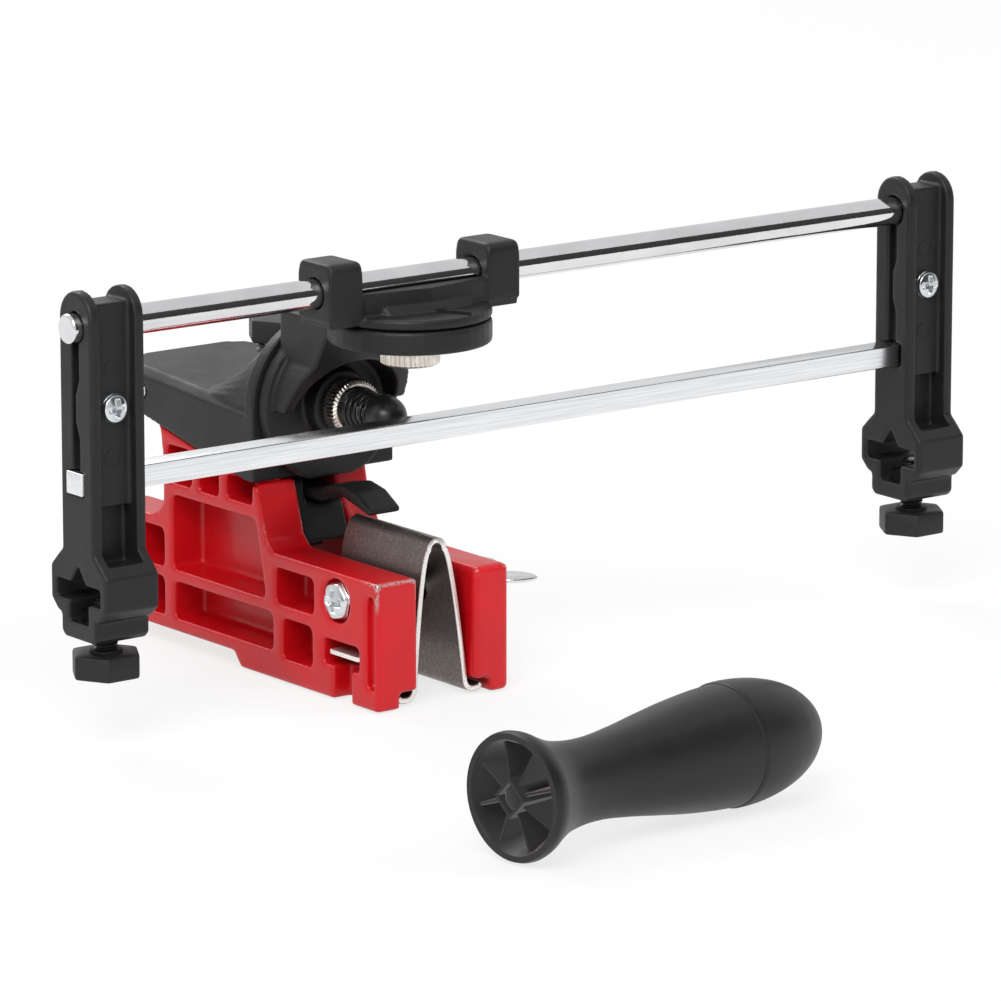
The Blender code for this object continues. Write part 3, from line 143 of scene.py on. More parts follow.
def eased_line(points: Array, radius: float, steps: int = 3, closed: bool = False) -> Array:
    """A line whose corners are turned into short parabolic arcs.

    A corner P between neighbours becomes (1-t)^2 S + 2t(1-t) P + t^2 E, where S
    and E lie one radius from P on its two sides, or less on a short side.

    Args:
        points: Corners, one row each.
        radius: How far from a corner its arc starts.
        steps: Parts of each arc.
        closed: Whether the last corner joins the first.

    Returns:
        The points of the eased line, one row each.
    """
    points = np.asarray(points, float)
    before = np.roll(points, 1, axis=0) - points
    after = np.roll(points, -1, axis=0) - points
    long_before = np.maximum(np.linalg.norm(before, axis=1, keepdims=True), 1e-12)
    long_after = np.maximum(np.linalg.norm(after, axis=1, keepdims=True), 1e-12)
    reach = np.minimum(radius, 0.48 * np.minimum(long_before, long_after))
    if not closed:
        reach[0] = reach[-1] = 0.0
    start = (points + before / long_before * reach)[:, None]
    end = (points + after / long_after * reach)[:, None]
    share = np.linspace(0.0, 1.0, steps + 1)[None, :, None]
    arcs = (1 - share) ** 2 * start + 2 * share * (1 - share) * points[:, None] + share ** 2 * end
    line = arcs.reshape(-1, points.shape[1])
    return line if closed else line[steps:-steps]


def new_object(name: str, data: bpy.types.ID) -> Object:
    """An object for a mesh, lamp or camera, at the origin.

    Args:
        name: Its name.
        data: The mesh, lamp or camera.

    Returns:
        The new object.
    """
    made = bpy.data.objects.new(name, data)
    bpy.context.collection.objects.link(made)
    return made


def points_of(mesh: Mesh) -> Array:
    """Places of a mesh's points, one row each."""
    points = np.empty(len(mesh.vertices) * 3)
    mesh.vertices.foreach_get("co", points)
    return points.reshape(-1, 3)


def put_points(mesh: Mesh, points: Array) -> None:
    """Move a mesh's points to new places."""
    mesh.vertices.foreach_set("co", points.ravel())
    mesh.update()


def store(mesh: Mesh, name: str, values: Array) -> None:
    """Keep a number for each point as an attribute."""
    mesh.attributes.new(name, "FLOAT", "POINT").data.foreach_set("value", values.astype(np.float32))


def smooth(mesh: Mesh, sharp: float) -> None:
    """Shade a mesh smoothly, apart from its edges over so many degrees."""
    mesh.shade_smooth()
    mesh.set_sharp_from_angle(angle=radians(sharp))


def merge_and_turn_out(mesh: Mesh, merge: float = 1e-7) -> None:
    """Merge doubled points and turn the faces outwards.

    Args:
        mesh: The mesh that is changed.
        merge: Points nearer to each other than this are one.
    """
    shape = bmesh.new()
    shape.from_mesh(mesh)
    bmesh.ops.remove_doubles(shape, verts=shape.verts, dist=merge)
    bmesh.ops.recalc_face_normals(shape, faces=shape.faces)
    if shape.calc_volume(signed=True) < 0:
        bmesh.ops.reverse_faces(shape, faces=shape.faces)
    shape.to_mesh(mesh)
    shape.free()


def take_modifiers(piece: Object) -> None:
    """Take a piece's modifiers over into its mesh.

    Args:
        piece: The piece, which is given the new mesh.
    """
    graph = bpy.context.evaluated_depsgraph_get()
    mesh = bpy.data.meshes.new_from_object(piece.evaluated_get(graph))
    piece.modifiers.clear()
    piece.data = mesh


def skin(rings: Array, ends: Ends = Ends.CAPPED, sharp: float = 40.0) -> Object:
    """A mesh of four-sided faces laid over rings of points.

    Args:
        rings: Points as ring, place round the ring, and coordinate.
        ends: Whether the end rings are capped or joined to each other.
        sharp: Edges over this many degrees stay sharp.

    Returns:
        The new object.
    """
    index = np.arange(rings.shape[0] * rings.shape[1]).reshape(rings.shape[:2])
    caps = [index[0][::-1].tolist(), index[-1].tolist()] if ends is Ends.CAPPED else []
    if ends is Ends.RING:
        index = np.vstack([index, index[:1]])
    after = np.roll(index, -1, axis=1)
    quads = np.stack([index[:-1], after[:-1], after[1:], index[1:]], axis=-1).reshape(-1, 4)
    mesh = bpy.data.meshes.new("form")
    mesh.from_pydata(rings.reshape(-1, 3).tolist(), [], quads.tolist() + caps)
    merge_and_turn_out(mesh)
    smooth(mesh, sharp)
    return new_object("form", mesh)


def fuse(parts: tuple[Object, ...]) -> Object:
    """One object that holds the meshes of several.

    Args:
        parts: Objects at the origin, which are used up.

    Returns:
        The joined object.
    """
    shape = bmesh.new()
    for part in parts:
        shape.from_mesh(part.data)
    mesh = bpy.data.meshes.new("form")
    shape.to_mesh(mesh)
    shape.free()
    for part in parts:
        bpy.data.objects.remove(part, do_unlink=True)
    return new_object("form", mesh)


def turned(profile: Array, axis: Axis, centre: Array, sides: int, ends: Ends = Ends.CAPPED) -> Object:
    """A surface of revolution: each profile point (along, reach) runs once round the axis.

    Args:
        profile: Rows of place along the axis and distance from it.
        axis: The axis of revolution.
        centre: A point on the axis.
        sides: Points round the axis.
        ends: Whether the profile's ends are capped or joined.

    Returns:
        The new object.
    """
    profile = np.asarray(profile, float)
    return skin(axis.around(profile[:, :1], profile[:, 1:], circle(sides), centre), ends)


def prism(axis: Axis, outline: Array, low: float, high: float) -> Object:
    """A closed outline drawn along an axis.

    Args:
        axis: The axis that it is drawn along.
        outline: Rows of places along the two other axes, in their order.
        low: Lower end.
        high: Upper end.

    Returns:
        The new object.
    """
    outline = np.asarray(outline, float)
    return skin(axis.place(np.array([[low], [high]]), outline[None, :, 0], outline[None, :, 1]), sharp=30.0)


def moulded_copy(node: str, voxel: float, rounds: int, added: tuple[Object, ...] = ()) -> Object:
    """A casting's or moulding's solid with its edges eased and its corners filleted.

    The solid, with any shapes added to it, is skinned again on a fine grid, and
    each point then moves halfway towards the mean of its neighbours, a few times
    over.  No point leaves the box that the shapes had before.

    Args:
        node: Name of the solid.
        voxel: Spacing of the grid.
        rounds: How often the points are eased.
        added: Closed shapes that are grown into the solid, and used up.

    Returns:
        The new object, with an "edge" attribute that is high on outer edges.
    """
    solid = new_object("solid", frame["nodes"][node].data.copy())
    merge_and_turn_out(solid.data, 1e-6)
    made = fuse((solid, *added))
    corners = points_of(made.data)
    remesh = made.modifiers.new("skin", "REMESH")
    remesh.mode = "VOXEL"
    remesh.voxel_size = voxel
    take_modifiers(made)
    ease_points(made.data, voxel, rounds, corners.min(axis=0), corners.max(axis=0))
    made.data.shade_smooth()
    return made


def ease_points(mesh: Mesh, spacing: float, rounds: int, low: Array, high: Array) -> None:
    """Ease a dense mesh and store how far each point stands out as the attribute "edge".

    Args:
        mesh: The mesh that is changed.
        spacing: Usual length of its edges.
        rounds: How often the points are eased.
        low: Lowest corner that a point may reach.
        high: Highest corner that a point may reach.
    """
    points = points_of(mesh)
    count = len(points)
    edges = np.empty(len(mesh.edges) * 2, dtype=np.int64)
    mesh.edges.foreach_get("vertices", edges)
    first, second = edges.reshape(-1, 2).T
    weight = np.maximum(np.bincount(edges, minlength=count), 1)

    def neighbours(values: Array) -> Array:
        """Mean of each point's neighbours."""
        total = np.bincount(first, values[second], count) + np.bincount(second, values[first], count)
        return total / weight

    def means() -> Array:
        """Mean place of each point's neighbours."""
        return np.stack([neighbours(column) for column in points.T], axis=1)

    for _ in range(rounds):
        points += (means() - points) / 2
    points = np.clip(points, low, high)
    put_points(mesh, points)
    normals = np.empty(count * 3)
    mesh.vertices.foreach_get("normal", normals)
    proud = -np.sum((means() - points) * normals.reshape(-1, 3), axis=1) / spacing
    for _ in range(2):
        proud = (proud + neighbours(proud)) / 2
    store(mesh, "edge", proud)


def hexagon_reach(angles: Array, across: float, corner_share: float = 0.035) -> Array:
    """Polar reach of a hexagon with slightly blunted corners.

    The reach is half the width over the cosine of the angle to the nearest flat,
    and it is held under the corner radius by a soft minimum.

    Args:
        angles: Angles, with a corner at zero.
        across: Width between two flats.
        corner_share: How much of the corner radius is taken off.

    Returns:
        The reach at each angle.
    """
    firmness = 60 / across
    reach = across / 2 / np.cos(np.mod(angles, pi / 3) - pi / 6)
    limit = across / 2 / cos(pi / 6) * (1 - corner_share)
    return -np.log(np.exp(-firmness * reach) + np.exp(-firmness * limit) * 0.35) / firmness


@dataclass(frozen=True)
class Coil:
    """A coil spring of round wire, its end turns closed."""

    turns: float
    radii: Pair
    wire: float
    closed: float = 0.9
    closed_pitch: float = 1.05
    tip: float = 0.6

    def path(self, axis: Axis, centre: Array, start: float, end: float) -> Array:
        """Middle line of the wire.

        The wire rises by its own thickness over the first and last turn, and the
        active turns between share the rest of the height evenly.

        Args:
            axis: The spring's axis.
            centre: A point on the axis.
            start: Place of the first point along the axis.
            end: Place of the last point along the axis.

        Returns:
            The points, one row each.
        """
        turn = np.linspace(0.0, self.turns, int(self.turns * 40) + 1)
        rise = self.wire * self.closed_pitch * np.sign(end - start)
        closed, last = self.closed, self.turns - self.closed
        resting = np.clip(turn, 0.0, closed) + np.clip(turn - last, 0.0, closed)
        active = np.clip((turn - closed) / (last - closed), 0.0, 1.0)
        along = start + rise * resting + (end - start - rise * 2 * closed) * active
        reach = self.radii[0] + (self.radii[1] - self.radii[0]) * turn / self.turns
        return axis.around(along, reach, turn * tau, centre)

    def build(self, axis: Axis, centre: Array, start: float, end: float) -> Object:
        """Carry a round section along the path, square to it at each point, and draw its tips in.

        Args:
            axis: The spring's axis.
            centre: A point on the axis.
            start: Place of the first point along the axis.
            end: Place of the last point along the axis.

        Returns:
            The new object.
        """
        path = self.path(axis, centre, start, end)
        along = np.gradient(path, axis=0)
        along /= np.linalg.norm(along, axis=1, keepdims=True)
        across = np.cross(along, path - path.mean(axis=0))
        across /= np.linalg.norm(across, axis=1, keepdims=True)
        up = np.cross(across, along)
        angles = circle(12)[None, :, None]
        ring = np.cos(angles) * across[:, None] + np.sin(angles) * up[:, None]
        radius = np.full((len(path), 1, 1), self.wire / 2)
        radius[[0, -1]] *= self.tip
        return skin(path[:, None] + ring * radius)


@dataclass(frozen=True)
class Pin:
    """A round pin or rod with bevelled and eased ends."""

    radius: float
    cut: float
    bevel: float
    ease: float
    sides: int

    def build(self, axis: Axis, centre: Array, low: float, high: float) -> Object:
        """Turn the outline: up the bevel, along the side and down the other bevel.

        Args:
            axis: The pin's axis.
            centre: A point on the axis.
            low: Lower end.
            high: Upper end.

        Returns:
            The new object.
        """
        end = self.radius - self.cut
        profile = np.array([[low, 0.0], [low, end], [low + self.bevel, self.radius],
                            [high - self.bevel, self.radius], [high, end], [high, 0.0]])
        return turned(eased_line(profile, self.ease), axis, centre, self.sides)


@dataclass(frozen=True)
class Thread:
    """A threaded rod: its outer radius, and the thread's pitch and depth."""

    radius: float
    pitch: float
    depth: float

    def build(self, axis: Axis, centre: Array, low: float, high: float, start: float | None = None) -> Object:
        """Let the reach fall by a triangle wave of the place along the axis less the turned share.

        Args:
            axis: The rod's axis.
            centre: A point on the axis.
            low: Lower end.
            high: Upper end.
            start: Where the thread starts, if part of the rod is plain.

        Returns:
            The new object.
        """
        pitch = self.pitch
        start = low if start is None else start
        along = np.linspace(low, high, int((high - low) / pitch * 8) + 2)[:, None]
        angles = circle(40)
        wave = np.abs(np.mod(along / pitch - angles / tau, 1.0) * 2 - 1)
        cut = smooth_step(1 - wave, 0.12, 0.9) * smooth_step(along, start, start + pitch)
        taper = np.minimum(smooth_step(along, low - pitch / 2, low + pitch),
                           smooth_step(-along, -high - pitch / 2, pitch - high))
        reach = self.radius - self.depth * cut - self.depth * 0.9 * (1 - taper)
        return skin(axis.around(along, reach, angles, centre), sharp=60.0)


@dataclass(frozen=True)
class KnurledNut:
    """A round nut with a straight knurl: its hole, its flutes and its outer radius."""

    bore: float
    flutes: int
    radius: float = 0.00615
    depth: float = 0.00032
    chamfer: float = 0.0005

    def build(self, axis: Axis, centre: Array, low: float, high: float) -> Object:
        """Let the reach of the side fall by a rounded triangle wave round the axis.

        Args:
            axis: The nut's axis.
            centre: A point on the axis.
            low: Lower face.
            high: Upper face.

        Returns:
            The new object.
        """
        cut, bore, radius = self.chamfer, self.bore, self.radius
        face = radius - cut * 1.5
        profile = np.array([[low + cut, bore], [low, bore + cut], [low, face], [low + cut, radius],
                            [high - cut, radius], [high, face], [high, bore + cut], [high - cut, bore]])
        profile = eased_line(profile, 0.00018, 2, closed=True)
        angles = circle(self.flutes * 8)
        wave = np.abs(np.mod(angles * self.flutes / tau, 1.0) * 2 - 1) ** 1.3
        side = smooth_step(profile[:, 1:], radius - 0.0009, radius - 0.0001)
        reach = profile[:, 1:] - self.depth * wave * side
        return skin(axis.around(profile[:, :1], reach, angles, centre), Ends.RING, 70.0)


@dataclass(frozen=True)
class Hexed:
    """A six-sided nut or knob, with a hole through it or a raised ring on it."""

    across: float
    chamfer: float
    bore: float = 0.0
    ring: float = 0.0
    ring_rise: float = 0.0
    ring_bevel: float = 0.0002
    dish: float = 0.0
    pole: float = 0.0002

    def build(self, axis: Axis, centre: Array, low: float, high: float) -> Object:
        """Lay rings over the two faces, the chamfers and the six flats.

        Args:
            axis: The piece's axis.
            centre: A point on the axis.
            low: Lower end.
            high: Upper end, with the raised ring.

        Returns:
            The new object.
        """
        angles = circle(96)
        flats = hexagon_reach(angles, self.across)
        hole = max(self.bore, self.pole)
        face = self.across / 2 - 3 * self.chamfer
        top = high - self.ring_rise
        cut = self.chamfer
        nick = cut * 0.3
        rings = [(low + self.dish, hole), (low + self.dish, face * 0.8), (low, face), (low, flats - cut),
                 (low + nick, flats - nick), (low + cut, flats), (top - cut, flats),
                 (top - nick, flats - nick), (top, flats - cut), (top, face)]
        if self.ring:
            rings += [(top, self.ring), (high - self.ring_bevel / 2, self.ring),
                      (high, self.ring - self.ring_bevel)]
        rings.append((high, hole))
        along = np.array([place for place, _ in rings])[:, None]
        reach = np.array([values * np.ones_like(angles) for _, values in rings])
        return skin(axis.around(along, reach, angles, centre), Ends.RING if self.bore else Ends.CAPPED, 25.0)


@dataclass(frozen=True)
class CrossedHead:
    """A domed screw head with a cross-shaped recess, facing up (1) or down (-1) its axis."""

    height: float
    across: float
    outward: float = -1.0
    six_sided: bool = False
    wall: float = 0.62
    rim_fall: float = 0.22
    slot: float = 0.092
    slot_length: float = 0.36
    slot_depth: float = 0.62

    def arm(self, along: Array, side: Array) -> Array:
        """Depth of one slot as a share, full in its middle and tapering outwards.

        Args:
            along: Places along the slot.
            side: Places across it.

        Returns:
            The share of the slot's depth at each place.
        """
        slot, length = self.across * self.slot, self.across * self.slot_length
        sides = smooth_step(slot - np.abs(side), -slot * 0.35, slot * 0.35)
        tips = smooth_step(length - np.abs(along), 0.0, length * 0.3)
        return sides * tips * (1 - 0.45 * np.abs(along) / length)

    def build(self, axis: Axis, centre: Array, seat: float) -> Object:
        """Lay rings over the wall and the face.

        The face is a dome, height times one less the squared share of the reach,
        less the depth of two tapered slots at right angles.

        Args:
            axis: The screw's axis.
            centre: A point on the axis.
            seat: Place of the face under the head.

        Returns:
            The new object.
        """
        angles = circle(120)
        rim = np.full(len(angles), self.across / 2)
        if self.six_sided:
            rim = hexagon_reach(angles + 0.25, self.across, 0.11)
        shares = np.concatenate([np.linspace(1.0, 0.9, 6), np.linspace(0.88, 0.0, 40)])[:, None]
        reach = rim * shares
        first, second = reach * np.cos(angles), reach * np.sin(angles)
        recess = np.maximum(self.arm(first, second), self.arm(second, first)) * self.height * self.slot_depth
        wall = self.height * self.wall
        fall = self.height * self.rim_fall * smooth_step(shares, 0.88, 1.0)
        dome = wall + (self.height - wall) * (1 - shares ** 2) - fall
        under = np.array([[0.0], [wall * 0.55]]) + 0.0 * angles
        along = seat + self.outward * np.vstack([under, dome - recess])
        return skin(axis.around(along, np.vstack([rim, rim, reach]), angles, centre), sharp=38.0)


BOLT_THREAD = Thread(0.00245, 0.0008, 0.00042)
POST_THREAD = Thread(0.0017, 0.0007, 0.0003)
BOLT_NUT = Hexed(0.0080, 0.0004, bore=0.0026)


# Materials and finishes


class Tree:
    """Short hand for a shader or group node tree."""

    def __init__(self, tree: bpy.types.NodeTree) -> None:
        """Keep the tree that nodes are added to."""
        self.tree = tree

    def feed(self, target: Socket, value: object) -> None:
        """Join an input to a socket, or give it a number or a colour.

        Args:
            target: The input.
            value: A socket, a number, or a colour's three shares.
        """
        if isinstance(value, Socket):
            self.tree.links.new(value, target)
        else:
            target.default_value = (*value, 1.0) if target.type == "RGBA" else value

    def node(self, kind: str, **inputs: object) -> Node:
        """Add a node and set its properties and inputs.

        Args:
            kind: Blender's name of the node.
            **inputs: Properties by name, or inputs by name with "_" for a space.

        Returns:
            The new node.
        """
        made = self.tree.nodes.new(kind)
        for name, value in inputs.items():
            if hasattr(made, name):
                setattr(made, name, value)
            else:
                self.feed(made.inputs[name.replace("_", " ")], value)
        return made

    def group(self, group: bpy.types.NodeTree, **values: float) -> Node:
        """Put a group in the material with its own values."""
        return self.node("ShaderNodeGroup", node_tree=group, **values)

    def place(self) -> Socket:
        """Object coordinates."""
        return self.node("ShaderNodeTexCoord").outputs["Object"]

    def mark(self, name: str) -> Socket:
        """A number that is kept with the mesh's points."""
        return self.node("ShaderNodeAttribute", attribute_name=name).outputs["Fac"]

    def noise(self, scale: object, detail: float, roughness: float, place: Socket | None = None) -> Socket:
        """Noise on object coordinates.

        Args:
            scale: Its scale, a number or a socket.
            detail: Its octaves.
            roughness: How much the finer octaves weigh.
            place: Other coordinates.

        Returns:
            The noise, about a half in its mean.
        """
        place = self.place() if place is None else place
        made = self.node("ShaderNodeTexNoise", Vector=place, Scale=scale, Detail=detail, Roughness=roughness)
        return made.outputs["Fac"]

    def bump(self, height: Socket, depth: object) -> Socket:
        """The normal of a surface that rises by a height times a depth."""
        return self.node("ShaderNodeBump", Height=height, Distance=depth).outputs["Normal"]

    def math(self, operation: str, first: object, second: object) -> Socket:
        """One sum of two values, either of which may be a socket.

        Args:
            operation: Blender's name of the sum.
            first: The first value.
            second: The second value.

        Returns:
            The outcome.
        """
        made = self.node("ShaderNodeMath", operation=operation)
        self.feed(made.inputs[0], first)
        self.feed(made.inputs[1], second)
        return made.outputs[0]

    def span(self, value: Socket, low: float, high: float, to_low: float = 0.0,
             to_high: float = 1.0) -> Socket:
        """Map a value smoothly from one range to another, held at its ends.

        Args:
            value: The value.
            low: Where the first range starts.
            high: Where the first range ends.
            to_low: Where the second range starts.
            to_high: Where the second range ends.

        Returns:
            The mapped value.
        """
        made = self.node("ShaderNodeMapRange", interpolation_type="SMOOTHSTEP", Value=value, From_Min=low,
                         From_Max=high, To_Min=to_low, To_Max=to_high)
        return made.outputs["Result"]

    def colour_mix(self, share: Socket, first: object, second: object) -> Socket:
        """Mix two colours, either of which may be a socket.

        Args:
            share: How much of the second shows.
            first: The first colour.
            second: The second colour.

        Returns:
            The mixed colour.
        """
        made = self.node("ShaderNodeMix", data_type="RGBA", Factor=share)
        colours = [socket for socket in made.inputs if socket.type == "RGBA"]
        self.feed(colours[0], first)
        self.feed(colours[1], second)
        return next(socket for socket in made.outputs if socket.type == "RGBA")

    def shader_mix(self, share: Socket, first: Node, second: Node, output: str) -> None:
        """Mix two shaders and give the outcome to the output.

        Args:
            share: How much of the second shows.
            first: The first shader.
            second: The second shader.
            output: Name of the tree's output node.
        """
        mixed = self.node("ShaderNodeMixShader", Fac=share)
        self.feed(mixed.inputs[1], first.outputs[0])
        self.feed(mixed.inputs[2], second.outputs[0])
        self.feed(self.tree.nodes[output].inputs["Surface"], mixed.outputs["Shader"])


def new_group(name: str, inputs: dict[str, float],
              outputs: dict[str, str]) -> tuple[Tree, bpy.types.NodeOutputs, bpy.types.NodeInputs]:
    """An empty shader node group with named sockets.

    Args:
        name: The group's name.
        inputs: Input names with their starting values.
        outputs: Output names with their socket types.

    Returns:
        The group's tree, the sockets that it is given and the sockets that it gives out.
    """
    group = bpy.data.node_groups.new(name, "ShaderNodeTree")
    for label, value in inputs.items():
        socket = group.interface.new_socket(name=label, in_out="INPUT", socket_type="NodeSocketFloat")
        socket.default_value = value
    for label, kind in outputs.items():
        group.interface.new_socket(name=label, in_out="OUTPUT", socket_type=kind)
    tree = Tree(group)
    return tree, tree.node("NodeGroupInput").outputs, tree.node("NodeGroupOutput").inputs


def grain_group() -> bpy.types.NodeTree:
    """Fine surface grain as a normal, with a coarse mottle as a mask."""
    tree, given, out = new_group("moulded grain", {"Fine": 2500.0, "Coarse": 90.0, "Depth": 0.00004},
                                 {"Normal": "NodeSocketVector", "Mottle": "NodeSocketFloat"})
    tree.feed(out["Normal"], tree.bump(tree.noise(given["Fine"], 3.0, 0.6), given["Depth"]))
    tree.feed(out["Mottle"], tree.span(tree.noise(given["Coarse"], 4.0, 0.55), 0.3, 0.7))
    return tree.tree


def rubbed_group() -> bpy.types.NodeTree:
    """Rubbed outer edges, broken up by noise, as a mask."""
    tree, given, out = new_group("rubbed edges", {"From": 0.05, "To": 0.2, "Break": 600.0},
                                 {"Mask": "NodeSocketFloat"})
    reach = tree.math("SUBTRACT", given["To"], given["From"])
    share = tree.math("DIVIDE", tree.math("SUBTRACT", tree.mark("edge"), given["From"]), reach)
    broken = tree.span(tree.noise(given["Break"], 5.0, 0.65), 0.42, 0.58)
    tree.feed(out["Mask"], tree.math("MULTIPLY", tree.span(share, 0.0, 1.0), broken))
    return tree.tree


def drawn_group() -> bpy.types.NodeTree:
    """Fine lines along the X axis, as on drawn or ground bar, as a normal and a mask."""
    tree, given, out = new_group("drawn lines", {"Lines": 1.0, "Depth": 0.00002},
                                 {"Normal": "NodeSocketVector", "Streak": "NodeSocketFloat"})
    stretched = tree.node("ShaderNodeMapping", Vector=tree.place(), Scale=(40.0, 2600.0, 2600.0))
    noise = tree.noise(given["Lines"], 4.0, 0.6, stretched.outputs["Vector"])
    tree.feed(out["Normal"], tree.bump(noise, given["Depth"]))
    tree.feed(out["Streak"], tree.span(noise, 0.35, 0.65))
    return tree.tree


def knocked_group() -> bpy.types.NodeTree:
    """Bare flecks round one spot, where the paint has been knocked off, as a mask."""
    values = {"X": 0.0, "Y": 0.0, "Z": 0.0, "Radius": 0.004, "Amount": 0.5}
    tree, given, out = new_group("knocked spot", values, {"Mask": "NodeSocketFloat"})
    spot = tree.node("ShaderNodeCombineXYZ", X=given["X"], Y=given["Y"], Z=given["Z"])
    away = tree.node("ShaderNodeVectorMath", operation="DISTANCE")
    tree.feed(away.inputs[0], tree.place())
    tree.feed(away.inputs[1], spot.outputs[0])
    near = tree.span(tree.math("DIVIDE", away.outputs["Value"], given["Radius"]), 1.0, 0.55)
    noise = tree.math("ADD", tree.noise(1400.0, 4.0, 0.7), tree.math("MULTIPLY", given["Amount"], 0.1))
    worn = tree.math("MULTIPLY", tree.span(noise, 0.54, 0.6), tree.span(tree.mark("edge"), 0.04, 0.12))
    tree.feed(out["Mask"], tree.math("MULTIPLY", worn, near))
    return tree.tree


GRAIN = grain_group()
RUBBED = rubbed_group()
DRAWN = drawn_group()
KNOCKED = knocked_group()


def new_material(name: str) -> tuple[bpy.types.Material, Tree, Node]:
    """A material with nodes.

    Args:
        name: Its name.

    Returns:
        The material, its tree and its shader.
    """
    made = bpy.data.materials.new(name)
    made.use_nodes = True
    return made, Tree(made.node_tree), made.node_tree.nodes["Principled BSDF"]


@dataclass(frozen=True)
class Finish:
    """What every finish has: a colour, a gloss that varies a little, and a grain."""

    name: str
    colour: Triple
    gloss: Pair
    metallic: float = 0.0
    fine: float = 2500.0
    depth: float = 0.00003
    coarse: float = 90.0
    specular: float = 0.5

    def start(self) -> tuple[bpy.types.Material, Tree, Node, Socket]:
        """The material, its tree, its shader and its mottle, joined for gloss and normal."""
        made, tree, shader = new_material(self.name)
        tree.feed(shader.inputs["Base Color"], self.colour)
        shader.inputs["Metallic"].default_value = self.metallic
        shader.inputs["Specular IOR Level"].default_value = self.specular
        grain = tree.group(GRAIN, Fine=self.fine, Coarse=self.coarse, Depth=self.depth)
        tree.feed(shader.inputs["Normal"], grain.outputs["Normal"])
        tree.feed(shader.inputs["Roughness"], tree.span(grain.outputs["Mottle"], 0.0, 1.0, *self.gloss))
        return made, tree, shader, grain.outputs["Mottle"]

    def scaled(self, factor: float) -> Triple:
        """The colour, paler or darker."""
        return tuple(value * factor for value in self.colour)

    def build(self) -> bpy.types.Material:
        """A plain finish: the colour as it is, with its varied gloss and grain."""
        return self.start()[0]


@dataclass(frozen=True)
class Moulding(Finish):
    """Black nylon or rubber with paler rubbed edges and a faint mottle."""

    rubbed: Triple = (0.10, 0.10, 0.10)
    rub_from: float = 0.06
    rub_to: float = 0.26
    rub_break: float = 450.0
    rub_share: float = 0.55

    def build(self) -> bpy.types.Material:
        """Mix in the rubbed edges and the mottle."""
        made, tree, shader, mottle = self.start()
        mottled = tree.colour_mix(mottle, self.colour, self.scaled(1.35))
        rubbed = tree.group(RUBBED, From=self.rub_from, To=self.rub_to, Break=self.rub_break)
        worn = tree.math("MULTIPLY", rubbed.outputs["Mask"], self.rub_share)
        tree.feed(shader.inputs["Base Color"], tree.colour_mix(worn, mottled, self.rubbed))
        return made


@dataclass(frozen=True)
class Enamel(Finish):
    """Gloss enamel over a zinc casting, knocked off at spots: place, radius and amount."""

    bare: Triple = (0.55, 0.52, 0.50)
    spots: tuple[tuple[float, float, float, float, float], ...] = ()

    def build(self) -> bpy.types.Material:
        """Mix bare metal into the paint at the knocked spots."""
        made, tree, shader, mottle = self.start()
        mask = 0.0
        for x, y, z, radius, amount in self.spots:
            spot = tree.group(KNOCKED, X=x, Y=y, Z=z, Radius=radius, Amount=amount)
            mask = tree.math("MAXIMUM", mask, spot.outputs["Mask"])
        paint = tree.colour_mix(mottle, self.scaled(0.86), self.colour)
        tree.feed(shader.inputs["Base Color"], tree.colour_mix(mask, paint, self.bare))
        tree.feed(shader.inputs["Metallic"], tree.math("MULTIPLY", mask, 0.8))
        shader.inputs["Coat Weight"].default_value = 0.12
        shader.inputs["Coat Roughness"].default_value = 0.08
        return made


@dataclass(frozen=True)
class Plate(Finish):
    """A plated or bare metal, mottled between two tints or drawn in fine lines along X."""

    second: Triple = (0.5, 0.5, 0.5)
    lines: bool = False

    def build(self) -> bpy.types.Material:
        """Mix the two tints, by the mottle or by the lines."""
        made, tree, shader, share = self.start()
        if self.lines:
            drawn = tree.group(DRAWN, Depth=0.000008)
            share = drawn.outputs["Streak"]
            tree.feed(shader.inputs["Normal"], drawn.outputs["Normal"])
            tree.feed(shader.inputs["Roughness"], tree.span(share, 0.0, 1.0, *self.gloss))
        tree.feed(shader.inputs["Base Color"], tree.colour_mix(share, self.colour, self.second))
        return made


@dataclass(frozen=True)
class BluedSheet(Finish):
    """Oil-blued spring sheet with bright, speckled cut edges."""

    bright: Triple = (0.62, 0.58, 0.54)

    def build(self) -> bpy.types.Material:
        """Speckle the faces and brighten the cut edges."""
        made, tree, shader, _ = self.start()
        speckle = tree.noise(1900.0, 6.0, 0.75)
        face = tree.colour_mix(tree.span(speckle, 0.44, 0.68), self.colour, self.scaled(1.8))
        share = tree.math("MULTIPLY", tree.mark("cut"), tree.span(speckle, 0.3, 0.5, 0.55, 1.0))
        tree.feed(shader.inputs["Base Color"], tree.colour_mix(share, face, self.bright))
        return made


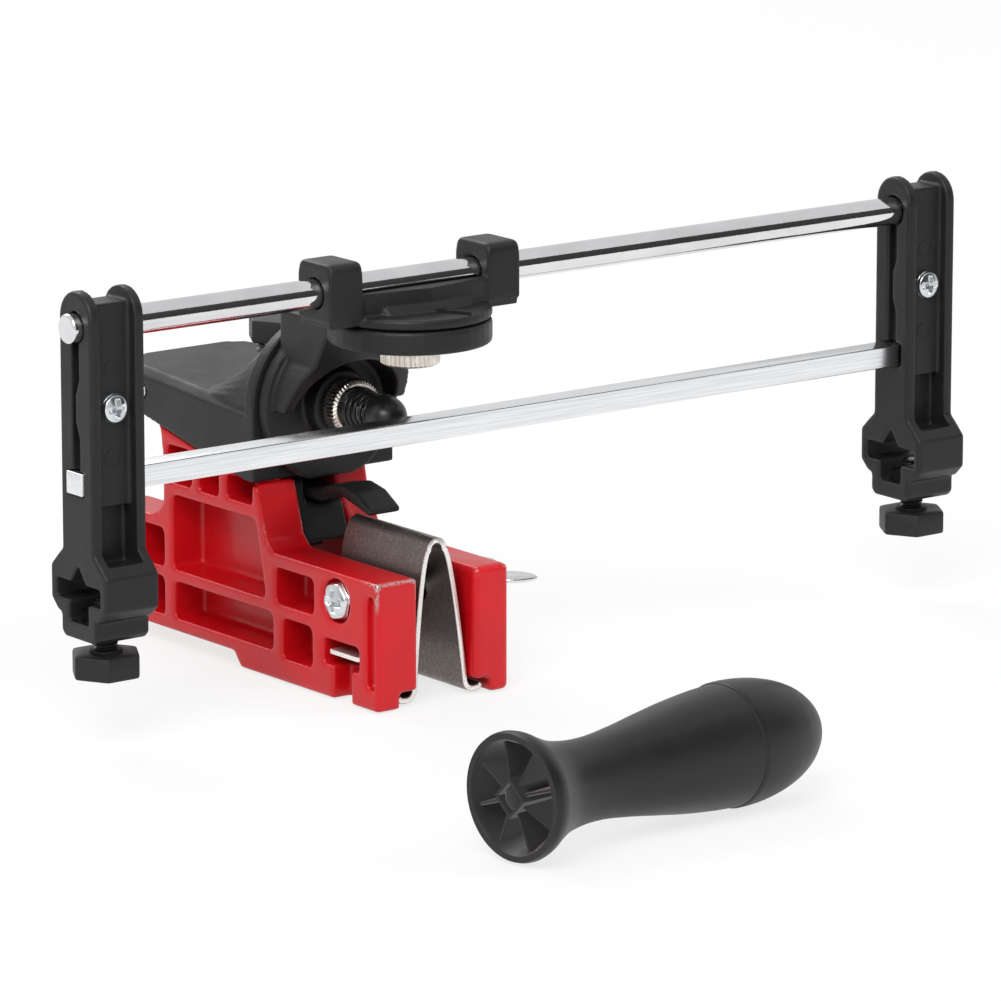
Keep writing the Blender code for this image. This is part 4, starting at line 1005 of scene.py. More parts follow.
class Look(Enum):
    """The finishes of this object."""

    RED_PAINT = Enamel("red enamel", (0.60, 0.004, 0.009), (0.29, 0.40), fine=700.0, depth=0.00002,
                       coarse=60.0, specular=0.35,
                       spots=((-0.0128, -0.0634, 0.0029, 0.0075, 1.0),
                              (0.0128, -0.0634, 0.0029, 0.0060, 0.4),
                              (-0.0118, -0.0235, 0.0065, 0.0070, 0.6),
                              (0.0120, -0.0150, 0.0080, 0.0060, 0.8)))
    BLACK_NYLON = Moulding("black nylon", (0.011, 0.011, 0.0115), (0.40, 0.52), fine=2600.0, depth=0.00005,
                           specular=0.32, rubbed=(0.075, 0.075, 0.077))
    BLACK_RUBBER = Moulding("black rubber", (0.010, 0.010, 0.010), (0.26, 0.36), fine=1200.0)
    CHROME = Plate("chrome plate", (0.78, 0.78, 0.79), (0.05, 0.11), 1.0, fine=900.0, depth=0.000012,
                   second=(0.70, 0.70, 0.71))
    BRIGHT_STEEL = Plate("ground bar steel", (0.86, 0.87, 0.88), (0.18, 0.24), 1.0, second=(0.76, 0.77, 0.79),
                         lines=True)
    NICKEL = Plate("nickel plate", (0.78, 0.74, 0.68), (0.18, 0.30), 1.0, fine=1500.0, coarse=400.0,
                   second=(0.62, 0.56, 0.50))
    ZINC = Plate("bright zinc", (0.76, 0.78, 0.78), (0.16, 0.30), 1.0, fine=1300.0, coarse=350.0,
                 second=(0.60, 0.64, 0.66))
    SPRING_STEEL = BluedSheet("blued spring sheet", (0.15, 0.125, 0.115), (0.30, 0.44), 0.8, fine=1600.0,
                              depth=0.00002, bright=(0.93, 0.90, 0.87))
    BLACK_WIRE = Finish("black spring wire", (0.016, 0.016, 0.017), (0.16, 0.28), 0.3, fine=1500.0,
                        depth=0.00002)
    HANDLE_PLASTIC = Moulding("handle plastic", (0.0095, 0.0095, 0.010), (0.38, 0.48), fine=3000.0,
                              coarse=45.0, specular=0.36)

    @property
    def material(self) -> bpy.types.Material:
        """The finish's material, built the first time it is asked for."""
        return bpy.data.materials.get(self.value.name) or self.value.build()


def dressed(node: str, parts: tuple[Object, ...], slot: str = "") -> Object:
    """Join parts into the piece that stands for a solid, and give it its finish.

    Args:
        node: The solid that the piece replaces, which gives its finish.
        parts: One or more objects, which are used up.
        slot: Another finish, where the photograph shows one.

    Returns:
        The piece.
    """
    piece = parts[0] if len(parts) == 1 else fuse(parts)
    piece.name = piece.data.name = node + "_form"
    slot = slot or SLOT_OF[node]
    piece.data.materials.append(Look[slot.upper()].material)
    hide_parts(node)
    return piece


def stand_for(node: str, *parts: Object, slot: str = "") -> Object:
    """Let parts, joined into one piece, stand for a solid and ride on its body.

    Args:
        node: The solid.
        *parts: One or more objects, which are used up.
        slot: Another finish, where the photograph shows one.

    Returns:
        The piece.
    """
    piece = dressed(node, parts, slot)
    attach(piece, BODY_OF[node])
    log.info("%s stands for %s", piece.name, node)
    return piece


def stretch_between(node: str, parts: tuple[Object, ...], bodies: tuple[str, str], start: Triple,
                    end: Triple) -> Object:
    """Let a spring stand for a solid, its place baked into its mesh, and log the two bodies that it sits
    between.

    Args:
        node: The solid.
        parts: One or more objects, which are used up.
        bodies: The bodies at its start and at its end.
        start: Where it leaves the first body; not used.
        end: Where it meets the second; not used.

    Returns:
        The piece.
    """
    piece = dressed(node, parts)
    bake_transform(piece)
    log.info("%s stretches from %s to %s", piece.name, *bodies)
    return piece


def fit_over(node: str, shape: Pin | Thread | KnurledNut | Hexed, axis: Axis, slot: str = "") -> None:
    """Build a pin, rod, nut or knob over its solid, from end to end, and let it stand for the solid.

    Args:
        node: The solid.
        shape: What is built.
        axis: Its axis.
        slot: Another finish, where the photograph shows one.
    """
    low, high = box(node)
    stand_for(node, shape.build(axis, middle(node), low[axis.value], high[axis.value]), slot=slot)


# Sub-assemblies


def crossed_screw(node: str, axis: Axis, seat: float, head: CrossedHead, thread: Thread,
                  start: float | None = None) -> None:
    """A screw with a crossed head: the head on its seat, and the shank from there to the far end.

    Args:
        node: The solid that it stands for.
        axis: The screw's axis.
        seat: Place of the face under the head.
        head: The head.
        thread: The thread.
        start: Where the thread starts, if part of the shank is plain.
    """
    low, high = box(node)
    ends = (seat, high[axis.value]) if head.outward < 0 else (low[axis.value], seat)
    shank = thread.build(axis, middle(node), *ends, start)
    stand_for(node, head.build(axis, middle(node), seat), shank)


@dataclass
class Clamp:
    """The two jaws, the spring between them, and their bolts and wing nuts."""

    casting_grid: float = 0.00042
    slope: tuple[Pair, ...] = ((-0.0222, 0.0020), (-0.0219, 0.0029), (-0.0190, 0.0044), (-0.0149, 0.0112))
    slope_wall: float = 0.0019
    slope_inset: float = 0.0003
    head: CrossedHead = CrossedHead(0.0032, 0.0078, six_sided=True)
    seat: float = 0.0035
    thread_start: float = 0.004
    hub_bore: float = 0.0026
    hub_radius: float = 0.0044
    hub_length: float = 0.0062
    hub_base: float = 0.0022
    hub_taper: float = 0.0010
    wing_back: float = 0.0052
    wing_root: float = 0.0030
    wing_start: float = 0.0018
    wing_spread: float = 0.0064
    wing_lean: float = 0.0068
    wing_width: float = 0.0022
    wing_swell: float = 0.0016
    wing_thickness: float = 0.0010
    wing_gap: float = 0.0004
    sheet: float = 0.0012
    slot: float = 0.0146
    slot_gap: float = 0.0003
    ridge_top: float = 0.0109
    ridge_shift: float = -0.0008
    ridge_radius: float = 0.0019
    foot_reach: float = 0.0040
    foot_radius: float = 0.0021
    foot_lifts: Pair = (0.0007, 0.0001)
    bow: float = 0.60
    bolt_hole: float = 0.00305
    sheet_bevel: float = 0.00012
    tab_front: float = -0.0567
    tab_back: float = -0.0463
    tab_root: float = 0.0018
    tab_z: float = -0.0134
    tab_half: float = 0.00045
    tab_clip: float = 0.0009
    pin: Pin = Pin(0.0016, 0.00035, 0.0004, 0.0003, 40)

    def build(self) -> None:
        """Build and dress every piece of the clamp."""
        stand_for("left_jaw", moulded_copy("left_jaw", self.casting_grid, 5))
        stand_for("right_jaw", moulded_copy("right_jaw", self.casting_grid, 5, (self.slope_rib(),)))
        for end in ("front", "rear"):
            bolt = end + "_clamp_bolt"
            seat = box(bolt)[0][0] + self.seat
            crossed_screw(bolt, Axis.X, seat, self.head, BOLT_THREAD, self.thread_start)
            self.wing_nut(end + "_wing_nut")
        self.spring()
        fit_over("hinge_pin", self.pin, Axis.X)

    def slope_rib(self) -> Object:
        """The rib under the right tower's front slope: the slope's line and the same line moved back."""
        low, high = box("right_jaw")
        front = np.array(self.slope)
        back = front[::-1] + (self.slope_wall, 0.0)
        return prism(Axis.X, np.vstack([front, back]), low[0] + self.slope_inset, high[0])

    def wing_nut(self, node: str) -> None:
        """Bored hub with two dished wings that sweep away from the jaw.

        Args:
            node: The solid that it stands for.
        """
        seat, tip = box(node)[0][0], box(node)[1][0] - self.wing_back
        centre = middle(node)
        end = seat + self.hub_length
        bore, radius = self.hub_bore, self.hub_radius
        profile = [[seat, bore], [seat, radius], [seat + self.hub_base, radius],
                   [end, radius - self.hub_taper], [end, bore]]
        hub = turned(eased_line(profile, 0.0004, closed=True), Axis.X, centre, 48, Ends.RING)
        stand_for(node, hub, *(self.wing(seat, tip, centre, side) for side in (-1.0, 1.0)))

    def wing(self, seat: float, tip: float, centre: Array, side: float) -> Object:
        """One wing: an oval section whose width swells and closes, carried along a bent line.

        Args:
            seat: Where the nut meets the jaw.
            tip: Where the wing ends.
            centre: A point on the bolt's axis.
            side: -1 for the front wing and 1 for the back one.

        Returns:
            The new object.
        """
        share = np.linspace(0.0, 1.0, 28)[:, None]
        root = seat + self.wing_root
        line_x = root + (tip - root) * share
        line_y = centre[1] + side * (self.wing_start + self.wing_spread * share ** 1.2)
        width = self.wing_width + self.wing_swell * np.sin(pi * share ** 0.8)
        width = width * np.sqrt(1 - share ** 6) + 1e-5
        thick = self.wing_thickness * np.sqrt(1 - share ** 8) + 1e-5
        angles = circle(28)
        across = np.sign(np.cos(angles)) * np.abs(np.cos(angles)) ** 0.8
        dish = 1 - 0.45 * np.exp(-(across / 0.55) ** 2) * smooth_step(share, 0.15, 0.4)
        lean = np.arctan2(self.wing_lean, tip - seat)
        points_x = np.clip(line_x - width * across * sin(lean), seat + self.wing_gap, tip)
        points_y = line_y + side * width * across * cos(lean)
        points_z = centre[2] + thick * np.sin(angles) * dish
        return skin(Axis.X.place(points_x, points_y, points_z), sharp=60.0)

    def spring_line(self) -> Array:
        """Middle line of the sheet: foot, bend, bowed leg, fold, and the same again mirrored."""
        half = self.slot / 2 - self.slot_gap - self.sheet / 2
        floor = box("spreader_spring")[0][2] + self.sheet / 2
        knee = floor + self.foot_radius
        fold = self.ridge_top - self.sheet / 2 - self.ridge_radius
        bend = np.linspace(0.0, pi / 2, 8)
        share = np.linspace(0.02, 0.98, 40)
        reach = self.ridge_radius + (half - self.ridge_radius) * (1 - share) ** self.bow
        sides = []
        for side in (-1.0, 1.0):
            foot = np.array([[side * (half + self.foot_reach), floor + self.foot_lifts[0]],
                             [side * (half + self.foot_reach * 0.86), floor + self.foot_lifts[1]]])
            curve = np.stack([side * (half + self.foot_radius * (1 - np.sin(bend))),
                              floor + self.foot_radius * (1 - np.cos(bend))], axis=1)
            leg = np.stack([side * reach + self.ridge_shift * share, knee + (fold - knee) * share], axis=1)
            over = np.stack([self.ridge_shift + side * self.ridge_radius * np.cos(bend),
                             fold + self.ridge_radius * np.sin(bend)], axis=1)
            sides.append(np.vstack([foot, curve, leg, over]))
        return np.vstack([sides[0], sides[1][::-1][1:]])

    def bent_sheet(self) -> Object:
        """The sheet: its line thickened both ways and drawn along Y, with the bolt's hole in both legs."""
        low, high = box("spreader_spring")
        line = self.spring_line()
        along = np.gradient(line, axis=0)
        along /= np.linalg.norm(along, axis=1, keepdims=True)
        normal = np.stack([-along[:, 1], along[:, 0]], axis=1)
        bevel = self.sheet_bevel
        rings = []
        for y, share in ((low[1], 0.34), (low[1] + bevel, 0.5), (high[1] - bevel, 0.5), (high[1], 0.34)):
            off = normal * self.sheet * share
            outline = np.vstack([line + off, (line - off)[::-1]])
            rings.append(Axis.Y.place(np.array(y), outline[:, 0], outline[:, 1]))
        sheet = skin(np.array(rings), sharp=50.0)
        reach = 0.012
        span = [[-reach, self.bolt_hole], [reach, self.bolt_hole]]
        hole = turned(span, Axis.X, middle("front_clamp_bolt"), 48)
        cut = sheet.modifiers.new("hole", "BOOLEAN")
        cut.operation = "DIFFERENCE"
        cut.solver = "EXACT"
        cut.object = hole
        take_modifiers(sheet)
        bpy.data.objects.remove(hole, do_unlink=True)
        return sheet

    def spring(self) -> None:
        """Bent sheet with a tab in each jaw's window, set between the two jaws."""
        low, high = box("spreader_spring")
        parts = (self.bent_sheet(), self.tab(-1.0, low[0]), self.tab(1.0, high[0]))
        ends = (low[0] / 2, 0.0, 0.0), (high[0] / 2, 0.0, 0.0)
        piece = stretch_between("spreader_spring", parts, ("clamp", "right_jaw"), *ends)
        self.mark_cut_edges(piece.data)
        smooth(piece.data, 40.0)

    def tab(self, side: float, tip: float) -> Object:
        """The strip that reaches from a leg into the jaw's window, with a clipped front corner.

        Args:
            side: -1 for the left tab and 1 for the right one.
            tip: Where the tab ends.

        Returns:
            The new object.
        """
        root = side * (self.slot / 2 - self.tab_root)
        front, back, clip = self.tab_front, self.tab_back, self.tab_clip
        corners = [[root, front], [root, back], [tip, back], [tip, front + clip], [tip - side * clip, front]]
        outline = eased_line(corners, 0.0004, closed=True)
        faces = np.array([[-self.tab_half], [self.tab_half]]) + self.tab_z
        rings = Axis.Z.place(faces, outline[:, 0], outline[:, 1])
        return skin(rings, sharp=50.0)

    @staticmethod
    def mark_cut_edges(mesh: Mesh) -> None:
        """Store 1 on the points of the tabs and of the sheet's front and back edges as the attribute "cut".

        Args:
            mesh: The spring's mesh, which is given the attribute.
        """
        low, high = box("spreader_spring")
        x, y, z = points_of(mesh).T
        near = np.minimum(np.abs(y - low[1]), np.abs(y - high[1])) < 0.0001
        tabs = (np.abs(x) > 0.0005 - box("left_jaw")[1][0]) & (z > low[2] + 0.004)
        store(mesh, "cut", near | tabs)


@dataclass
class BarStop:
    """The stop block between the towers and the pawl that rocks in it."""

    grid: float = 0.00034
    pawl_grid: float = 0.00026
    nose_top: Pair = (-0.0195, 0.0166)
    nose_foot: Pair = (-0.0242, 0.0032)
    nose_round: float = 0.0014
    nose_overlap: float = 0.0010
    shelf: float = 0.0112
    cheek_right: float = -0.0043
    pin_radius: float = 0.0011

    def build(self) -> None:
        """Ease the block and the pawl, and dress the pin."""
        stand_for("bar_stop_block", moulded_copy("bar_stop_block", self.grid, 3, self.nose()))
        stand_for("chain_pawl", moulded_copy("chain_pawl", self.pawl_grid, 14))
        low, high = box("pawl_pin")
        cut = 0.0002
        profile = [[low[0], self.pin_radius - cut], [low[0] + cut, self.pin_radius],
                   [high[0] - cut, self.pin_radius], [high[0], self.pin_radius - cut]]
        stand_for("pawl_pin", turned(profile, Axis.X, middle("pawl_pin"), 32))

    def nose(self) -> tuple[Object, ...]:
        """The block's front: a sloped face drawn along X, low under the pawl and high at the left cheek.

        The face runs straight from its top to its foot, which is rounded, and a
        point on it at height z lies at the two ends' weighted mean.
        """
        low, high = box("bar_stop_block")
        back = low[1] + self.nose_overlap
        foot_y, foot_z = self.nose_foot
        parts = []
        for right, top in ((self.cheek_right, self.nose_top[1]), (high[0], self.shelf)):
            share = (top - foot_z) / (self.nose_top[1] - foot_z)
            front = foot_y + (self.nose_top[0] - foot_y) * share
            corners = np.array([[back, foot_z], [back, top], [front, top], [foot_y, foot_z]])
            outline = eased_line(corners, self.nose_round, 6, closed=True)
            outline[outline[:, 0] > back - self.nose_round, 0] = back
            parts.append(prism(Axis.X, outline, low[0], right))
        return tuple(parts)


@dataclass
class SwingArm:
    """The hooded arm with its stop screw, spring, knob and nut."""

    grid: float = 0.00038
    knob: Hexed = Hexed(0.0130, 0.0006, dish=0.0003)
    coil: Coil = Coil(4.6, (0.0047, 0.0047), 0.0009)

    def build(self) -> None:
        """Build and dress every piece of the arm."""
        stand_for("swing_arm", moulded_copy("swing_arm", self.grid, 4))
        fit_over("height_knob", self.knob, Axis.Z)
        fit_over("height_screw", BOLT_THREAD, Axis.Z)
        fit_over("height_nut", BOLT_NUT, Axis.Z)
        x, y, _ = middle("height_knob")
        low, high = box("height_spring")
        half = self.coil.wire / 2
        spring = self.coil.build(Axis.Z, (x, y, 0.0), low[2] + half, high[2] - half)
        stretch_between("height_spring", (spring,), ("arm", "height_screw"), (x, y, low[2]), (x, y, high[2]))


@dataclass
class TiltHead:
    """The angle bracket, its tilt bolt and lock nut, and the sprung bumper."""

    grid: float = 0.00034
    nut: KnurledNut = KnurledNut(0.00305, 44)
    pin_radius: float = 0.0013
    shank_radius: float = 0.0029
    head_radius: float = 0.0050
    head_height: float = 0.0030
    coil: Coil = Coil(5.0, (0.0044, 0.0034), 0.00092)
    coil_inset: float = 0.0004
    cap_radius: float = 0.0044
    cap_bore: float = 0.0014
    cap_wall: float = 0.0016

    def build(self) -> None:
        """Build and dress every piece of the head."""
        stand_for("angle_bracket", moulded_copy("angle_bracket", self.grid, 4))
        fit_over("tilt_lock_nut", self.nut, Axis.Y)
        self.bolt()
        self.bumper()

    def bolt(self) -> None:
        """Pin, shank and flat head of the tilt bolt, as one profile."""
        start, end = box("tilt_bolt")[0][1], box("tilt_bolt")[1][1]
        front = box("tilt_lock_nut")[0][1]
        head = end - self.head_height
        profile = np.array([[start, 0.0], [start, self.pin_radius], [front, self.pin_radius],
                            [front, self.shank_radius], [head, self.shank_radius], [head, self.head_radius],
                            [end, self.head_radius], [end, 0.0]])
        stand_for("tilt_bolt", turned(eased_line(profile, 0.0003, 2), Axis.Y, middle("tilt_bolt"), 48))

    def bumper(self) -> None:
        """Tapered coil spring and the domed cap that it pushes forward."""
        centre = middle("tilt_lock_nut")
        low, high = box("bumper_spring")
        spring = self.coil.build(Axis.Y, centre, high[1] - self.coil_inset, low[1] + self.coil_inset)
        stretch_between("bumper_spring", (spring,), ("head", "bumper"), (0.0, high[1], centre[2]),
                        (0.0, low[1], centre[2]))
        low, high = box("bumper_cap")
        dome = high[1] - self.cap_wall
        arc = np.linspace(0.0, pi / 2, 20)
        cap = np.stack([dome - (dome - low[1]) * np.sin(arc), self.cap_radius * np.cos(arc)], axis=1)
        bevel = 0.0003
        rim = np.array([[high[1], self.cap_bore], [high[1], self.cap_radius - bevel],
                        [high[1] - bevel, self.cap_radius]])
        stand_for("bumper_cap", turned(np.vstack([rim, cap]), Axis.Y, centre, 56))


@dataclass
class GuideCarriage:
    """The swivelling carriage with the two lugs that guide the rod."""

    grid: float = 0.00030
    base_top: float = 0.0573
    wall_kink: float = 0.0082
    wall_front: float = 0.0058
    lug_inner: float = 0.0157
    pointer: tuple[Pair, Pair, Pair] = ((-0.0005, -0.0080), (0.0022, -0.0078), (0.0036, -0.0160))
    pointer_root: float = 0.0004
    pointer_rise: float = 0.0006
    nut: KnurledNut = KnurledNut(0.0026, 34)
    head: CrossedHead = CrossedHead(0.0016, 0.0084, 1.0)

    def build(self) -> None:
        """Build and dress the carriage, its bolt and its lock nut."""
        rod_y = middle("guide_rod")[1]
        outline = np.array(self.pointer) + (0.0, rod_y)
        ridge = prism(Axis.Z, outline, self.base_top - self.pointer_root, self.base_top + self.pointer_rise)
        body = moulded_copy("guide_carriage", self.grid, 4)
        self.flatten_front(body.data, rod_y)
        stand_for("guide_carriage", body, ridge)
        fit_over("swivel_lock_nut", self.nut, Axis.Z)
        seat = box("swivel_bolt")[1][2] - self.head.height
        crossed_screw("swivel_bolt", Axis.Z, seat, self.head, BOLT_THREAD)

    def flatten_front(self, mesh: Mesh, rod_y: float) -> None:
        """Lower the base in front of the wall to one flat face, from the wall's foot to the rim.

        The wall's front lies a kink's depth before the rod at x = 0, and less by a
        straight line towards the lugs; points before it come down to the base's top
        by a share that grows smoothly with their distance from it.

        Args:
            mesh: The carriage's mesh, which is changed.
            rod_y: Place of the rod's axis.
        """
        points = points_of(mesh)
        side = np.abs(points[:, 0])
        foot = rod_y - self.wall_kink + (self.wall_kink - self.wall_front) * side / self.lug_inner
        share = smooth_step(foot - points[:, 1], -0.0002, 0.0012)
        share *= smooth_step(self.lug_inner - side, 0.0002, 0.0010)
        points[:, 2] -= share * np.maximum(points[:, 2] - self.base_top, 0.0)
        put_points(mesh, points)


@dataclass
class FileFrame:
    """The rod, the lower bar, the two posts and the screws that hold the file."""

    grid: float = 0.00032
    rod: Pin = Pin(0.0030, 0.0004, 0.0004, 0.0002, 96)
    bar_edge: float = 0.00028
    web_half: float = 0.0033
    web_width: float = 0.0084
    web_drop: float = 0.0361
    web_rise: float = 0.0048
    mark_radius: float = 0.0017
    mark_width: float = 0.0002
    mark_rise: float = 0.00008
    mark_root: float = 0.0004
    mark_drops: Pair = (0.0084, 0.0263)
    head: CrossedHead = CrossedHead(0.0023, 0.0060)
    nut: Hexed = Hexed(0.0060, 0.0004, bore=0.0018)
    knob: Hexed = Hexed(0.0130, 0.0006, ring=0.0033, ring_rise=0.0006, dish=0.0004)

    def build(self) -> None:
        """Build and dress every piece of the frame."""
        fit_over("guide_rod", self.rod, Axis.X)
        stand_for("lower_bar", self.bar())
        for side in ("left", "right"):
            self.post(side)

    def bar(self) -> Object:
        """The lower bar: a rectangle with eased corners, drawn along X and drawn in at both ends."""
        low, high = box("lower_bar")
        edge = self.bar_edge
        half = (high - low)[1:] / 2
        corners = np.array([[-1, -1], [1, -1], [1, 1], [-1, 1]]) * half
        outline = eased_line(corners, edge, 5, closed=True)
        inset = np.array([1.0, 0.3, 0.0, 0.0, 0.3, 1.0])[:, None] * edge
        inward = np.array([0.0, 0.3, 1.0]) * edge
        stations = np.concatenate([low[0] + inward, high[0] - inward[::-1]])[:, None]
        scaled = outline[None] * (1 - inset[..., None] / half) + (high + low)[1:] / 2
        return skin(Axis.X.place(stations, scaled[..., 0], scaled[..., 1]), sharp=50.0)

    def post(self, side: str) -> None:
        """One post with its clamp screw and nut, file screw, knob and captive nut.

        Args:
            side: "left" or "right".
        """
        self.column(side + "_post")
        seat = middle("guide_rod")[1] - self.web_half
        crossed_screw(side + "_post_screw", Axis.Y, seat, self.head, POST_THREAD)
        fit_over(side + "_post_nut", self.nut, Axis.Y)
        fit_over(side + "_file_screw", BOLT_THREAD, Axis.Z, "black_wire")
        fit_over(side + "_file_knob", self.knob, Axis.Z)
        fit_over(side + "_file_nut", BOLT_NUT, Axis.Z)

    def column(self, node: str) -> None:
        """The moulded post, its web thick enough to close over rod and bar, with two ejector marks.

        Args:
            node: The solid that it stands for.
        """
        rod = middle("guide_rod")
        x = middle(node)[0]
        corners = np.array([[-1, -1], [1, -1], [1, 1], [-1, 1]]) * (self.web_width / 2, self.web_half)
        web = prism(Axis.Z, corners + (x, rod[1]), rod[2] - self.web_drop, rod[2] + self.web_rise)
        parts = [moulded_copy(node, self.grid, 4, (web,))]
        back, front = rod[1] - self.web_half + (self.mark_root, -self.mark_rise)
        inner, outer = self.mark_radius + np.array([-0.5, 0.5]) * self.mark_width
        for drop in self.mark_drops:
            profile = [[back, inner], [front, inner], [front, outer], [back, outer]]
            parts.append(turned(profile, Axis.Y, (x, 0.0, rod[2] - drop), 40, Ends.RING))
        stand_for(node, *parts)


@dataclass
class FileHandle:
    """The loose file handle: a waisted grip with a ribbed socket end and a domed cap."""

    length: float = 0.0795
    disc: float = 0.0126
    x: float = -0.0631
    y: float = -0.1680
    turn: float = radians(6)
    rim: float = 0.0009
    seam: float = 0.695
    cap_gap: float = 0.010
    cap_lip: float = 0.0006
    cap_bevel: float = 0.0002
    recess: float = 0.0085
    recess_end: float = 0.0082
    recess_steps: Triple = (0.0070, 0.0045, 0.0020)
    hub: tuple[Pair, ...] = ((0.0085, 0.0034), (0.0022, 0.0030), (0.0004, 0.0024), (0.0002, 0.0))
    ribs: int = 8
    rib_root: float = 0.0018
    rib_front: float = 0.0004
    rib_fall: float = 0.0010
    rib_rows: tuple[Pair, ...] = ((1.0, 0.00055), (0.06, 0.00036), (0.0, 0.00022))
    collar_front: float = -0.0006
    collar_outer: float = 0.0040
    collar_inner: float = 0.0031
    grip_shares: tuple[Pair, ...] = (
        (0.0, 0.975), (0.012, 0.998), (0.034, 0.975), (0.070, 0.865), (0.115, 0.745), (0.180, 0.660),
        (0.260, 0.640), (0.350, 0.695), (0.450, 0.790), (0.550, 0.880), (0.640, 0.935), (0.700, 0.955))
    cap_shares: tuple[Pair, ...] = (
        (0.700, 0.980), (0.740, 0.978), (0.790, 0.950), (0.840, 0.890), (0.890, 0.790), (0.935, 0.640),
        (0.970, 0.450), (0.989, 0.280), (0.998, 0.110))

    def build(self) -> None:
        """Build and dress the grip and its cap, which bright metal nearby doesn't mirror."""
        floor = box("file_handle")[0][2]
        start = Vector((self.x, self.y, floor + self.disc))
        place = Matrix.Translation(start) @ Matrix.Rotation(self.turn, 4, "Z")
        for node, make in (("file_handle", self.grip), ("handle_end_cap", self.cap)):
            piece = stand_for(node, *make())
            piece.data.transform(place)
            piece.visible_glossy = False
            smooth(piece.data, 40.0)

    def swept(self, corners: tuple[Pair, ...], low: float, high: float, count: int) -> Array:
        """A smooth profile through shares of length and of the disc's radius, by a monotone cubic.

        Args:
            corners: Rows of share along the handle and share of the disc's radius.
            low: First share along the handle.
            high: Last share along the handle.
            count: Number of points.

        Returns:
            Rows of place along the handle and distance from its axis.
        """
        places, radii = np.array(corners).T
        along = np.linspace(low, high, count)
        slope = np.gradient(radii, places)
        index = np.clip(np.searchsorted(places, along) - 1, 0, len(places) - 2)
        step = places[index + 1] - places[index]
        t = (along - places[index]) / step
        reach = (2 * t ** 3 - 3 * t ** 2 + 1) * radii[index] + (3 * t ** 2 - 2 * t ** 3) * radii[index + 1]
        reach += ((t ** 3 - 2 * t ** 2 + t) * slope[index] + (t ** 3 - t ** 2) * slope[index + 1]) * step
        return np.column_stack([along * self.length, reach * self.disc])

    def grip(self) -> tuple[Object, ...]:
        """Outside, rim and recess as one turned profile, with ribs, a hub and a tang socket."""
        outside = self.swept(self.grip_shares, 0.0, self.seam, 72)
        tuck = outside[-1] + (0.0004, -0.0005)
        inner = self.disc - 2 * self.rim
        depths = np.array([self.recess, *self.recess_steps])
        wall = inner + (self.recess_end - inner) * smooth_step(depths, 0.0005, self.recess)
        profile = np.vstack([[self.recess, 0.0], np.column_stack([depths, wall]), [0.0005, inner],
                             [0.0, inner + 0.0003], outside, tuck, [tuck[0], 0.0]])
        parts = [turned(profile, Axis.X, np.zeros(3), 96),
                 turned(eased_line(self.hub, 0.0006), Axis.X, np.zeros(3), 48)]
        parts += [self.rib(index, inner) for index in range(self.ribs)]
        return (*parts, self.tang_collar())

    def rib(self, index: int, reach: float) -> Object:
        """One thin rib whose edge slopes from the hub back to the wall, with a slight draft.

        Args:
            index: Which rib it is.
            reach: Radius of the recess at its mouth.

        Returns:
            The new object.
        """
        angle = tau * (index + 0.5) / self.ribs + radians(4)
        out = np.array([cos(angle), sin(angle)])
        across = np.array([-sin(angle), cos(angle)])
        rings = []
        for back, half in self.rib_rows:
            near = self.rib_front + back * self.recess
            far = self.rib_front + self.rib_fall + back * (self.recess - 0.0008)
            root, edge = out * self.rib_root, out * (reach * 1.01 + (self.recess_end - reach) * back)
            off = across * half
            corners = np.array([root - off, edge - off, edge + off, root + off])
            rings.append(np.column_stack([[near, far, far, near], corners]))
        return skin(np.array(rings), sharp=30.0)

    def tang_collar(self) -> Object:
        """Raised square rim, standing on its corner, round the hole for the file's tang."""
        along = np.array([self.recess - 0.0005, self.collar_front, self.collar_front, self.recess - 0.0010])
        reach = np.array([self.collar_outer, self.collar_outer, self.collar_inner, self.collar_inner])
        rings = Axis.X.around(along[:, None], reach[:, None], circle(4), np.zeros(3))
        return skin(rings, Ends.RING, 30.0)

    def cap(self) -> tuple[Object]:
        """Domed end cap whose lip stands a little proud of the grip at a fine groove."""
        outside = self.swept(self.cap_shares, self.seam + self.cap_gap, self.cap_shares[-1][0], 44)
        start, radius = outside[0]
        floor, edge = start - self.cap_bevel, start - self.cap_lip
        lip = np.array([[floor, 0.0], [floor, radius - 1.5 * self.cap_lip], [edge, radius - self.cap_lip],
                        [edge, radius - self.cap_bevel]])
        return (turned(np.vstack([lip, outside, [self.length, 0.0]]), Axis.X, np.zeros(3), 96),)


# Studio


